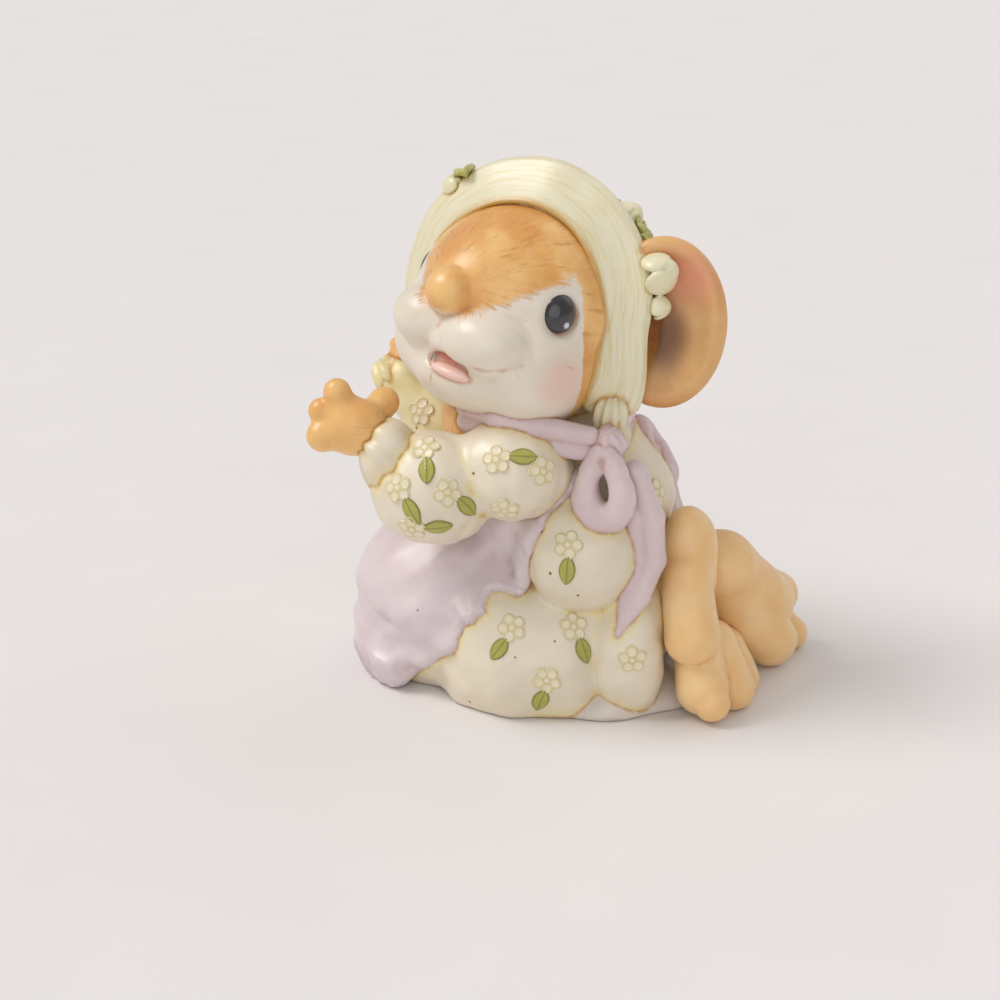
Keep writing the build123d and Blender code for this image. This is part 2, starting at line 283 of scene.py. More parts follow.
def normals_of(mesh):
    """The vertex normals of a mesh as rows of an array."""
    rows = np.empty(len(mesh.vertices) * 3, np.float32)
    mesh.vertex_normals.foreach_get("vector", rows)
    return rows.reshape(-1, 3)


def edges_of(mesh):
    """The two vertex numbers of every edge."""
    rows = np.empty(len(mesh.edges) * 2, int)
    mesh.edges.foreach_get("vertices", rows)
    return rows.reshape(-1, 2)


def relaxed(rows, edges, rounds):
    """Vertices after each has moved to the mean of its neighbours, some rounds over."""
    count = np.bincount(edges.ravel(), minlength=len(rows))[:, None]
    for _ in range(rounds):
        total = np.zeros_like(rows)
        for axis in range(3):
            total[:, axis] = np.bincount(
                edges[:, 0], rows[edges[:, 1], axis], minlength=len(rows)
            ) + np.bincount(edges[:, 1], rows[edges[:, 0], axis], minlength=len(rows))
        rows = total / np.maximum(count, 1)
    return rows


def new_mesh(name, bm):
    """A mesh made from a bmesh, which is freed."""
    mesh = bpy.data.meshes.new(name)
    bm.to_mesh(mesh)
    bm.free()
    return mesh


def remeshed(mesh, grain):
    """A mesh rebuilt from even quads about grain wide."""
    obj = bpy.data.objects.new("working copy", mesh)
    bpy.context.scene.collection.objects.link(obj)
    modifier = obj.modifiers.new("form", "REMESH")
    modifier.mode, modifier.voxel_size = "VOXEL", grain
    graph = bpy.context.evaluated_depsgraph_get()
    result = bpy.data.meshes.new_from_object(obj.evaluated_get(graph))
    bpy.data.objects.remove(obj)
    bpy.data.meshes.remove(mesh)
    return result


def sculpted_mesh(name, sculpt, grain, trims=(), passes=1):
    """A closed mesh of a sculpt, with quads about grain wide, in millimetres.

    Each trim is a place and a direction; what lies beyond them is left out of the first mesh.
    A further pass spreads the quads evenly again where the first mesh was stretched.
    """
    bm = bmesh.new()
    for form, added in sculpt.steps:
        if added:
            form.start(bm)
    for place, direction in trims:
        everything = bm.verts[:] + bm.edges[:] + bm.faces[:]
        bmesh.ops.bisect_plane(
            bm, geom=everything, plane_co=place, plane_no=direction, clear_outer=True
        )
        bmesh.ops.holes_fill(bm, edges=bm.edges[:], sides=0)
    mesh = remeshed(new_mesh(name, bm), grain)
    for _ in range(passes - 1):
        set_vertices(mesh, sculpt.settle(vertices_of(mesh), rounds=14))
        mesh = remeshed(mesh, grain)
    rows = sculpt.settle(vertices_of(mesh))
    rows = sculpt.settle(relaxed(rows, edges_of(mesh), 2), rounds=3)
    if passes > 1:
        rows = relaxed(rows, edges_of(mesh), 3)
    set_vertices(mesh, rows)
    mesh.name = name
    return mesh


def waves(points, seed, size):
    """A smooth wave field between about -1 and 1, with features of this size."""
    random = np.random.default_rng(seed)
    total = np.zeros(len(points))
    for _ in range(7):
        direction = random.normal(size=3)
        direction *= 2 * math.pi / (size * np.linalg.norm(direction) * random.uniform(0.8, 1.6))
        total += np.sin(points @ direction + random.uniform(0, 2 * math.pi))
    return total / 3.0


def paint(mesh, name, values):
    """Store one number for each vertex, for a material to read."""
    layer = mesh.attributes.new(name, "FLOAT", "POINT")
    layer.data.foreach_set("value", np.ascontiguousarray(values, np.float32))


def paint_flow(mesh, along, across, beside=0.0):
    """Store how far each vertex lies along, across and beside the strokes, in millimetres."""
    rows = np.stack([along, across, beside + np.zeros(len(along))], 1).astype(np.float32)
    layer = mesh.attributes.new("flow", "FLOAT_VECTOR", "POINT")
    layer.data.foreach_set("vector", rows.ravel())


def step_up(values, low, high):
    """0 below low, 1 above high and a smooth rise between."""
    share = np.clip((values - low) / (high - low), 0, 1)
    return share * share * (3 - 2 * share)


def hollows(mesh, rounds, depth):
    """1 in dips of this depth, 0 on flats and bumps."""
    rows = vertices_of(mesh)
    dip = ((relaxed(rows, edges_of(mesh), rounds) - rows) * normals_of(mesh)).sum(1)
    return np.clip(dip / depth, 0, 1)


def finish_piece(mesh, material, slot, *nodes):
    """Set a mesh into the scene at its real size, riding on the figurine for its CAD nodes."""
    for name in ("wash", "mask", "tint"):
        if name not in mesh.attributes:
            paint(mesh, name, np.zeros(len(mesh.vertices)))
    set_vertices(mesh, vertices_of(mesh) * MM)
    mesh.shade_smooth()
    obj = bpy.data.objects.new(mesh.name, mesh)
    bpy.context.scene.collection.objects.link(obj)
    mesh.materials.append(material)
    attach(obj, BODY)
    if nodes:
        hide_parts(*nodes)


# Materials


def colour(red, green, blue):
    """A display colour from 0 to 255 as the linear colour that a shader takes."""
    def linear(value):
        value = value / 255
        return value / 12.92 if value <= 0.04045 else ((value + 0.055) / 1.055) ** 2.4
    return (linear(red), linear(green), linear(blue), 1.0)


class Shade:
    """A shader socket that adds Math nodes when it is used in a sum."""

    def __init__(self, box, socket):
        self.box = box
        self.socket = socket

    def _math(self, operation, first, second):
        return self.box.node("ShaderNodeMath", {"operation": operation}, {0: first, 1: second})

    def __add__(self, other):
        return self._math("ADD", self, other)

    def __radd__(self, other):
        return self._math("ADD", other, self)

    def __sub__(self, other):
        return self._math("SUBTRACT", self, other)

    def __rsub__(self, other):
        return self._math("SUBTRACT", other, self)

    def __mul__(self, other):
        return self._math("MULTIPLY", self, other)

    def __rmul__(self, other):
        return self._math("MULTIPLY", other, self)


class NodeBox:
    """The nodes of one material or of the world."""

    def __init__(self, owner):
        owner.use_nodes = True
        self.tree = owner.node_tree
        self.tree.nodes.clear()

    def node(self, kind, settings, inputs, output=0):
        """A node with its settings made first, then its sockets set or linked."""
        made = self.tree.nodes.new(kind)
        for name, value in settings.items():
            setattr(made, name, value)
        for key, value in inputs.items():
            socket = made.inputs[key]
            if isinstance(value, Shade):
                self.tree.links.new(value.socket, socket)
            else:
                socket.default_value = value
        return Shade(self, made.outputs[output]) if len(made.outputs) else None


class PaintBox(NodeBox):
    """The nodes of one painted resin material."""

    def __init__(self, name):
        self.material = bpy.data.materials.new(name)
        super().__init__(self.material)
        self.place = self.node("ShaderNodeTexCoord", {}, {}, "Object")

    def painted(self, name):
        """A number painted on the vertices."""
        return self.node("ShaderNodeAttribute", {"attribute_name": name}, {}, "Fac")

    def flow(self):
        """The place along and across the strokes."""
        return self.node("ShaderNodeAttribute", {"attribute_name": "flow"}, {}, "Vector")

    def stretched(self, vector, x, y, z):
        """A vector scaled on each axis."""
        inputs = {"Vector": vector, "Scale": (x, y, z)}
        return self.node("ShaderNodeMapping", {"vector_type": "POINT"}, inputs)

    def noise(self, vector, scale, detail=3.0, rough=0.5):
        """Noise with this many features in each unit of the vector."""
        inputs = {"Vector": vector, "Scale": scale, "Detail": detail, "Roughness": rough}
        return self.node("ShaderNodeTexNoise", {}, inputs, "Fac")

    def between(self, value, low, high):
        """0 below low, 1 above high and a smooth rise between."""
        inputs = {"Value": value, "From Min": low, "From Max": high}
        settings = {"interpolation_type": "SMOOTHSTEP", "clamp": True}
        return self.node("ShaderNodeMapRange", settings, inputs, "Result")

    def mix(self, amount, first, second):
        """Two colours mixed by an amount."""
        inputs = {0: amount, 6: first, 7: second}
        return self.node("ShaderNodeMix", {"data_type": "RGBA"}, inputs, 2)

    def finish(self, base, rough, bump, bump_depth, coat=0.35, coat_rough=0.28):
        """Wire the painted colour, gloss and relief into one lacquered surface."""
        inputs = {"Height": bump, "Strength": 1.0, "Distance": bump_depth * MM}
        raised = self.node("ShaderNodeBump", {}, inputs, "Normal")
        inputs = {
            "Base Color": base,
            "Roughness": rough,
            "Normal": raised,
            "Coat Weight": coat,
            "Coat Roughness": coat_rough,
            "IOR": 1.5,
        }
        surface = self.node("ShaderNodeBsdfPrincipled", {}, inputs, "BSDF")
        self.node("ShaderNodeOutputMaterial", {"target": "ALL"}, {"Surface": surface})
        return self.material


def resin_paint(name, base, shade, wash, fleck=None, tinge=None, rough=0.42, relief=0.03):
    """Brushed paint on cast resin: two close tones, a tinge and a wash in the dips, both partly painted
    shade, and flecks.
    """
    box = PaintBox(name)
    cloud = box.noise(box.place, 0.14 / MM, 3.0)
    brush = box.noise(box.place, 0.9 / MM, 4.0, 0.6)
    fine = box.noise(box.place, 5.0 / MM, 3.0)
    tone = box.mix(box.between(cloud, 0.35, 0.65), base, shade)
    tone = box.mix(box.between(brush, 0.45, 0.75) * 0.25, tone, shade)
    # The wash in dips and where pieces meet: partly the figurine's own ochre wash, partly painted shade.
    wash_and_shade = box.painted("wash") * (box.between(brush, 0.25, 0.6) * 0.5 + 0.5)
    tone = box.mix(box.between(wash_and_shade, 0.0, 0.4) * 0.6, tone, tinge or shade)
    tone = box.mix(box.between(wash_and_shade, 0.3, 0.95) * 0.9, tone, wash)
    if fleck:
        inputs = {"Vector": box.place, "Scale": 0.22 / MM}
        spots = box.node("ShaderNodeTexVoronoi", {"feature": "F1"}, inputs, "Distance")
        tone = box.mix(1.0 - box.between(spots, 0.035, 0.06), tone, fleck)
    roughness = fine * 0.12 + (rough - 0.06)
    return box.finish(tone, roughness, brush * 0.7 + fine * 0.3, relief)


def fur_paint(base, shade, wash):
    """Fur-coloured paint with short strokes that follow the flow of the piece."""
    box = PaintBox("painted fur")
    strokes = box.noise(box.stretched(box.flow(), 0.35, 2.6, 2.6), 1.0, 3.0, 0.6)
    strokes = (strokes - 0.5) * box.painted("mask") + 0.5
    cloud = box.noise(box.place, 0.16 / MM, 3.0)
    brush = box.noise(box.place, 0.8 / MM, 3.0)
    tone = box.mix(box.between(cloud, 0.35, 0.7), base, shade)
    tone = box.mix(box.between(strokes, 0.5, 0.75) * 0.35, tone, wash)
    tone = box.mix(box.between(box.painted("tint"), 0.1, 0.9) * 0.8, tone, colour(214, 150, 118))
    # The wash in dips and where pieces meet: partly the figurine's own ochre wash, partly painted shade.
    wash_and_shade = box.painted("wash") * (brush * 0.6 + 0.6)
    tone = box.mix(box.between(wash_and_shade, 0.15, 0.9), tone, wash)
    return box.finish(tone, strokes * 0.15 + 0.32, strokes, 0.1)


def face_paint(face, blush, fur, fur_shade, wash):
    """The face: fur brushed over the brow and snout, a pale face, pink cheeks and small marks."""
    box = PaintBox("painted face")
    fine = box.noise(box.stretched(box.flow(), 0.33, 2.3, 1.0), 1.0, 4.0, 0.6)
    tufts = box.noise(box.stretched(box.flow(), 0.3, 0.9, 1.0), 1.0, 2.0, 0.5)
    strokes = (fine * 0.55 + tufts * 0.45 - 0.5) * box.painted("furry") + 0.5
    cloud = box.noise(box.place, 0.18 / MM, 3.0)
    brush = box.noise(box.place, 0.8 / MM, 3.0)
    pale = box.mix(box.between(cloud, 0.35, 0.7) * 0.7, face, colour(224, 212, 194))
    pale = box.mix(box.between(box.painted("tint"), 0.0, 1.0) * 0.6, pale, blush)
    pelt = box.mix(box.between(cloud, 0.3, 0.66), fur, fur_shade)
    pelt = box.mix(box.between(strokes, 0.51, 0.66) * 0.6, pelt, wash)
    edge = box.painted("mask") + (strokes - 0.5) * 2.4
    tone = box.mix(box.between(edge, 0.2, 0.8), pale, pelt)
    for place, size in FACE_MARKS:
        inputs = {0: box.place, 1: in_head(*place) * MM}
        reach = box.node("ShaderNodeVectorMath", {"operation": "DISTANCE"}, inputs, "Value")
        dot = 1.0 - box.between(reach + brush * 0.3 * MM, 0.5 * size * MM, size * MM)
        tone = box.mix(dot * 0.85, tone, colour(96, 84, 76))
    # The wash in creases and where pieces meet, kept light on the head: partly the figurine's own wash,
    # partly painted shade.
    wash_and_shade = box.painted("wash") * (brush * 0.7 + 0.5)
    tone = box.mix(box.between(wash_and_shade, 0.2, 1.0) * 0.9, tone, wash)
    tone = box.mix(box.painted("mouth"), tone, colour(196, 96, 88))
    height = strokes * box.between(edge, 0.3, 0.6) + brush * 0.25
    return box.finish(tone, brush * 0.14 + 0.34, height, 0.12)


def colour_setting(name, description, shade):
    """A colour setting with this default."""
    return FloatVectorProperty(
        name=name, description=description, subtype="COLOR", size=4, default=shade
    )


class FigurineSettings(bpy.types.PropertyGroup):
    """Sizes and colours of the figurine's finish."""

    grain: FloatProperty(
        name="Mesh grain", description="Width of a mesh quad, in millimetres", default=0.34, min=0.15
    )
    sprig_relief: FloatProperty(
        name="Sprig relief", description="How far the flower sprigs stand out, in millimetres", default=0.26
    )
    sprig_width: FloatProperty(
        name="Sprig width", description="Width of one flower, in millimetres", default=4.2
    )
    brim_waves: IntProperty(name="Brim waves", description="Soft waves round the brim", default=5)
    crown_pleats: IntProperty(name="Crown pleats", description="Gathers round the crown", default=26)
    fur: colour_setting("Fur", "Colour of the fur and the paws", colour(240, 193, 122))
    dress: colour_setting("Dress", "Colour of the dress", colour(232, 222, 200))
    apron: colour_setting("Apron", "Colour of the apron", colour(222, 208, 210))
    bonnet: colour_setting("Bonnet", "Colour of the bonnet", colour(232, 226, 196))


OCHRE = colour(200, 152, 74)
YELLOW = colour(232, 214, 144)
DEEP_OCHRE = colour(186, 122, 54)

DRESS_FORMS = (
    Ball((0, -0.1, 25.0), (12.5, 12.3, 13.6)),
    Ball((0, -2.5, 31.2), (10.4, 8.0, 9.8), blend=2.0),
    Ball((1.6, 4.7, 26.6), (8.4, 8.4, 6.6), blend=1.4),
    Limb((0, -15.6, 9.0), (0, -8.3, 9.0), 13.8, 13.8, blend=2.0),
    Limb((-4.5, -4.5, 6.1), (4.5, -4.5, 6.1), 13.7, 13.7, blend=1.2),
    Limb((-4.0, 6.0, 11.2), (4.0, 6.0, 11.2), 9.1, 9.1, blend=1.6),
    Ball((8.8, 2.8, 21.3), (8.1, 8.4, 7.9), blend=0.7),
    Ball((-8.8, 2.8, 21.3), (8.1, 8.4, 7.9), blend=0.7),
    Ball((10.2, 9.0, 7.6), (4.9, 4.6, 9.2), blend=0.8),
    Ball((-10.2, 9.0, 7.6), (4.9, 4.6, 9.2), blend=0.8),
)


def rest_flat(points, distance):
    """A form cut flat where the figurine rests."""
    return smooth_cut(distance, -points[:, 2] + 0.05, 0.5)


def dress_shape(points, distance):
    """The dress with soft hand-modelled swells, cut flat where it rests."""
    swell = 0.3 * waves(points, 3, 9.0) + 0.1 * waves(points, 8, 3.6)
    turn = np.arctan2(points[:, 1] + 3.0, points[:, 0])
    drape = 0.3 * np.sin(11 * turn + 0.12 * points[:, 2]) * step_up(-points[:, 2], -13.0, -5.0)
    return rest_flat(points, distance + swell + drape)


# Where the apron's edge runs: the place along its slant, and how far it reaches past the slant.
APRON_EDGE = (
    (-14.0, 0.3), (-8.5, 0.3), (-4.9, 0.6), (-2.4, 1.4), (-0.6, -0.7), (1.8, -0.6),
    (3.4, 0.4), (4.9, -0.5), (7.0, 0.8), (9.4, 1.2), (11.4, 0.0), (13.2, -2.0),
    (15.5, -2.6), (17.6, -3.7), (20.0, -4.6), (24.0, -4.2), (30.0, -3.5),
)


def smooth_profile(values, stops, reach=0.55):
    """A profile through stops with its corners rounded."""
    places, heights = np.array(stops).T
    shifts = (-1.5 * reach, -0.5 * reach, 0.5 * reach, 1.5 * reach)
    return sum(np.interp(values + shift, places, heights) for shift in shifts) / len(shifts)


def apron_edge(points):
    """How far each point lies past the apron's slanted edge, and how far along it."""
    y, z = points[:, 1], points[:, 2]
    along = (y + z) / math.sqrt(2)
    return (y - z + 21.6) / math.sqrt(2) - smooth_profile(along, APRON_EDGE), along


def apron_shape(points, distance):
    """A skin over the dress that ends at the apron's edge and ruffles along it."""
    x, y, z = points.T
    distance = dress_shape(points, distance)
    past, along = apron_edge(points)
    low = step_up(-z, -20.0, -6.0) * step_up(-y, 12.0, 22.0)
    ripple = low * (0.6 * np.sin(0.9 * z + 0.2 * x + 0.3) + 0.45 * np.sin(0.75 * x + 0.3 * z) - 0.25)
    near_edge = step_up(past, -4.5, -0.3)
    ruffle = near_edge * (0.4 * np.sin(1.3 * along + 0.6) + 0.2)
    fan = np.arctan2(z - 31.0, np.abs(y + 4.0) + 4.0)
    folds = 0.28 * np.sin(11 * fan + 0.25 * x) * step_up(-z, -27.0, -20.0)
    hem = 6.0 * step_up(-z, -6.5, -1.2) * step_up(-y, 17.0, 25.0)
    skin = distance - np.maximum(0.95 + ripple + ruffle + hem + folds, 0.6)
    cut = smooth_cut(skin, past, 0.9)
    cut = smooth_cut(cut, z - 31.0 - 0.25 * (y + 6), 0.8)
    return rest_flat(points, cut)


class FIGURINE_OT_dress(bpy.types.Operator):
    """Sculpt the petticoat, the dress and the apron"""

    bl_idname = "figurine.dress"
    bl_label = "Dress and apron"

    def execute(self, context):
        settings = context.scene.figurine
        dress = resin_paint(
            "painted dress", settings.dress, colour(225, 213, 190), OCHRE, colour(150, 96, 60), YELLOW
        )
        lilac = resin_paint(
            "painted apron", settings.apron, colour(213, 197, 200), colour(188, 160, 154),
            colour(120, 100, 104), relief=0.02
        )
        body = Sculpt(*DRESS_FORMS).reshape(dress_shape)
        mesh = sculpted_mesh("dress", body, settings.grain)
        finish_piece(
            mesh, dress, "dress", "bodice", "skirt_lap", "skirt_hem", "skirt_back",
            "skirt_hip_left", "skirt_hip_right", "skirt_fold_left", "skirt_fold_right",
        )
        apron = Sculpt(*DRESS_FORMS).reshape(apron_shape)
        trims = (((0, -18.5, 0), (0, 1, -1)), ((0, 0, 33.0), (0, 0, 1)))
        mesh = sculpted_mesh("apron", apron, settings.grain * 0.9, trims, passes=2)
        finish_piece(mesh, lilac, "apron", "apron_panel")
        cloth = resin_paint(
            "painted petticoat", colour(214, 202, 196), colour(224, 214, 200), OCHRE
        )
        slab = Sculpt(Ball((0, 0.5, 0.4), (15.6, 18.4, 5.2)))

        def hem_waves(points, distance):
            angle = np.arctan2(points[:, 1], points[:, 0])
            return rest_flat(points, distance + 0.45 * np.sin(9 * angle))

        mesh = sculpted_mesh("petticoat", slab.reshape(hem_waves), settings.grain)
        finish_piece(mesh, cloth, "petticoat", "base_petticoat")
        return {"FINISHED"}


# Arms


def sleeve_shape(points, distance):
    """Full cloth with soft folds."""
    return distance + 0.2 * waves(points, 14, 6.0) + 0.1 * waves(points, 5, 2.8)


def gathered(centre, axis, count, depth):
    """A change of form that gathers a cuff into small folds round an axis."""
    axis = unit(axis)
    side = unit(np.cross(axis, (0, 0, 1.0)))
    other = np.cross(axis, side)

    def shape(points, distance):
        local = points - np.array(centre)
        angle = np.arctan2(local @ other, local @ side)
        return distance + depth * np.sin(count * angle + 1.3 * np.sin(2 * angle))

    return shape


class FIGURINE_OT_arms(bpy.types.Operator):
    """Sculpt both sleeves, cuffs and paws"""

    bl_idname = "figurine.arms"
    bl_label = "Sleeves and paws"

    def execute(self, context):
        settings = context.scene.figurine
        grain = settings.grain
        dress = bpy.data.materials["painted dress"]
        pelt = fur_paint(settings.fur, colour(230, 172, 100), DEEP_OCHRE)
        near = Sculpt(
            Ball((11.9, -5.9, 32.6), (7.5, 7.8, 6.6)),
            Ball((14.6, -15.6, 30.0), (7.2, 8.0, 7.4), blend=1.2),
        ).reshape(sleeve_shape)
        mesh = sculpted_mesh("left_sleeve", near, grain)
        finish_piece(mesh, dress, "dress", "sleeve_puff_left", "sleeve_fore_left")
        far = Sculpt(
            Ball((-11.5, -7.0, 31.4), (7.2, 6.7, 6.2)),
            Limb((-9.1, -12.0, 31.1), (-2.4, -18.7, 32.5), 6.5, 5.1, blend=0.9),
            Limb((-2.8, -18.6, 33.2), (-3.4, -24.5, 38.2), 5.0, 3.6, blend=1.0),
        ).reshape(sleeve_shape)
        mesh = sculpted_mesh("right_sleeve", far, grain)
        yellow = resin_paint(
            "painted far sleeve", colour(236, 226, 180), colour(228, 214, 158), OCHRE, colour(150, 96, 60)
        )
        finish_piece(mesh, yellow, "dress", "sleeve_puff_right", "sleeve_fore_right")
        centre, axis = (15.9, -20.9, 34.2), (0.1, -0.8, 0.6)
        cuff = Sculpt(Ball(centre, (4.3, 3.6, 4.9)), Ball((15.2, -19.6, 32.6), (4.4, 4.2, 4.4)))
        cuff.reshape(gathered(centre, axis, 7, 0.2))
        finish_piece(sculpted_mesh("left_cuff", cuff, grain * 0.8), dress, "dress", "cuff_left")
        centre, axis = (-3.4, -26.0, 39.0), (-0.1, -0.7, 0.7)
        cuff = Sculpt(Ball(centre, (3.2, 2.9, 2.7)), Ball((-3.8, -28.0, 39.2), (1.7, 1.5, 1.5), blend=0.5))
        cuff.reshape(gathered(centre, axis, 5, 0.3))
        finish_piece(sculpted_mesh("right_cuff", cuff, grain * 0.7), yellow, "dress", "cuff_right")
        palm = (16.2, -25.4, 37.9)
        paw = Sculpt(
            Ball(palm, (3.3, 4.3, 3.8)),
            Limb(palm, (16.6, -27.3, 42.4), 1.7, 1.75, blend=0.9),
            Limb(palm, (17.1, -29.3, 39.9), 1.7, 1.65, blend=0.8),
            Limb(palm, (17.9, -28.9, 36.9), 2.1, 2.1, blend=0.8),
            Limb((15.6, -24.6, 37.6), (11.3, -22.9, 39.8), 1.9, 2.0, blend=1.2),
        )
        self.pelt_piece("left_paw", paw, grain * 0.7, palm, pelt, "paw_left")
        palm = (-4.2, -25.4, 41.2)
        paw = Sculpt(
            Ball(palm, (2.0, 1.9, 1.9)),
            Limb(palm, (-4.0, -25.5, 42.9), 1.2, 1.15, blend=0.5),
            Limb(palm, (-6.6, -26.8, 42.3), 1.05, 1.0, blend=0.5),
            Limb(palm, (-2.4, -24.4, 42.4), 1.05, 1.0, blend=0.5),
        )
        self.pelt_piece("right_paw", paw, grain * 0.6, palm, pelt, "paw_right")
        return {"FINISHED"}

    def pelt_piece(self, name, sculpt, grain, root, pelt, node):
        """A furred piece whose strokes run out from its root."""
        mesh = sculpted_mesh(name, sculpt, grain)
        local = vertices_of(mesh) - np.array(root)
        along = np.linalg.norm(local, axis=1)
        turn = np.arctan2(local[:, 2], local[:, 0])
        paint_flow(mesh, along, np.sin(turn) * 4.0, np.cos(turn) * 4.0)
        wrist = vertices_of(mesh)[:, 1] - root[1]
        paint(mesh, "mask", step_up(wrist, -0.8, 1.8))
        finish_piece(mesh, pelt, "fur", node)


# Feet

NEAR_FOOT = (
    Limb((3.7, 7.7, 11.5), (4.0, 15.0, 16.0), 4.2, 3.9),
    Ball((4.2, 15.6, 19.2), (4.2, 4.1, 7.6), blend=1.5),
    Limb((6.9, 16.0, 18.6), (9.5, 17.6, 11.0), 3.2, 3.6, blend=0.8),
    Limb((5.8, 17.6, 8.6), (9.7, 19.2, 4.1), 3.3, 3.5, blend=0.3),
    Limb((8.6, 18.6, 6.2), (11.2, 20.6, 2.7), 2.5, 2.4, blend=0.3),
    Limb((4.1, 19.3, 8.0), (5.6, 22.4, 2.4), 3.2, 3.0, blend=0.5),
    Limb((-0.3, 20.4, 5.8), (0.2, 22.9, 1.4), 2.7, 2.4, blend=0.4),
)
FAR_FOOT = (
    Limb((-3.6, 7.7, 10.5), (-3.7, 18.9, 15.8), 4.0, 4.4),
    Limb((-4.0, 18.9, 16.0), (-10.6, 24.0, 8.6), 4.4, 4.1, blend=1.5),
    Limb((-13.9, 22.1, 10.0), (-16.1, 25.2, 7.8), 2.8, 2.8, blend=0.7),
    Limb((-8.0, 22.2, 7.7), (-8.8, 25.2, 3.7), 3.5, 3.6, blend=0.8),
    Limb((-13.6, 24.6, 5.0), (-15.4, 27.2, 2.2), 2.5, 2.4, blend=0.6),
    Limb((-11.0, 22.5, 8.0), (-14.0, 24.5, 6.6), 3.4, 2.8, blend=1.0),
    Limb((-4.6, 19.6, 11.6), (-7.2, 23.4, 5.4), 3.8, 3.4, blend=0.8),
)


def foot_shape(points, distance):
    """A softly uneven foot, cut flat where it rests."""
    return rest_flat(points, distance + 0.12 * waves(points, 31, 5.0))


class FIGURINE_OT_feet(bpy.types.Operator):
    """Sculpt both long-toed feet"""

    bl_idname = "figurine.feet"
    bl_label = "Feet"

    def execute(self, context):
        grain = context.scene.figurine.grain
        skin = resin_paint(
            "painted feet", colour(243, 206, 150), colour(238, 193, 131), colour(212, 146, 82), rough=0.36
        )
        for side, forms in (("left", NEAR_FOOT), ("right", FAR_FOOT)):
            sculpt = Sculpt(*forms).reshape(foot_shape)
            mesh = sculpted_mesh(side + "_foot", sculpt, grain * 0.9)
            finish_piece(mesh, skin, "fur", "foot_" + side)
        return {"FINISHED"}


# Head

# The near eye's place, how much further ahead the far eye sits, and the half sizes of an eye
# and of the hollow round it.
EYE_PLACE = (7.2, 11.9, 2.9)
FAR_EYE_AHEAD = 0.8
EYE_SIZE = (1.75, 2.3, 2.6)
EYE_HOLLOW = (3.0, 2.0, 3.2)

# Each eye's side, 1 for her left, its name, its shift ahead and its depth from the head's middle.
EYES = ((1, "left", 0.0, 12.9), (-1, "right", FAR_EYE_AHEAD, 12.7))

# Small painted marks: whisker dots on the muzzle and lash marks behind the eye, each with its size.
FACE_MARKS = (
    ((13.6, 5.5, 0.1), 0.42),
    ((12.9, 6.9, 1.0), 0.3),
    ((12.6, 7.6, -0.2), 0.38),
    ((12.5, 8.4, -0.8), 0.3),
    ((4.6, 13.3, 3.1), 0.4),
    ((4.6, 13.5, 1.7), 0.45),
)
MOUTH = (14.6, 1.5, -7.2)
NOSE = (14.4, 0, 1.7)
CHEEK = (5.6, 13.0, -5.4)


def head_sculpt():
    """The head in its own frame: skull, cheeks, chin, snout, muzzle and nose, with the mouth cut in."""
    def ball(place, radii, blend):
        return Ball(in_head(*place), radii, HEAD_AXES, blend)

    sculpt = Sculpt(
        ball((0, 0, 0), (14.0, 14.2, 14.2), 1.0),
        ball((3.5, 6.8, -5.5), (8.2, 7.8, 7.4), 2.5),
        ball((3.5, -6.8, -5.5), (8.2, 7.8, 7.4), 2.5),
        ball((7.8, 0, -8.4), (6.0, 7.2, 4.6), 2.2),
        ball((7.3, 0, 2.8), (7.4, 6.6, 5.9), 3.5),
        ball((11.5, 4.9, -3.2), (5.1, 6.2, 4.3), 0.9),
        ball((10.9, -4.6, -2.9), (5.0, 5.6, 4.2), 0.9),
        ball(NOSE, (3.2, 3.3, 3.05), 0.5),
        ball((9.5, 0.5, -6.2), (4.0, 4.6, 3.4), 1.0),
        ball((12.0, 0.2, -4.6), (2.9, 2.4, 1.8), 0.9),
    )
    eye_forward, eye_left, eye_up = EYE_PLACE
    sculpt.carve(
        ball(MOUTH, (3.4, 3.8, 1.25), 0.5),
        Limb(in_head(14.7, 4.6, -7.2), in_head(14.1, 7.4, -6.6), 0.7, 0.5, blend=0.8),
        Limb(in_head(14.1, 7.4, -6.6), in_head(12.6, 9.8, -6.0), 0.5, 0.45, blend=0.8),
        Limb(in_head(12.6, 9.8, -6.0), in_head(11.0, 11.4, -4.3), 0.45, 0.35, blend=0.8),
        ball((eye_forward * 1.06, eye_left * 1.06, eye_up), EYE_HOLLOW, 0.8),
        ball((eye_forward + FAR_EYE_AHEAD, -eye_left * 1.08, eye_up), EYE_HOLLOW, 0.8),
    )
    return sculpt


# Where the fur of the brow ends above the pale face: degrees round from the nose, and height.
FUR_EDGE = np.array([
    (0, -1.0), (14.7, -0.6), (26.7, 1.8), (40, 4.0), (55, 6.2), (64, 7.4), (69, 5.8),
    (73, 1.5), (77, -3.5), (81, -9.0), (86, -15.0), (90, -19.0), (180, -30.0),
])


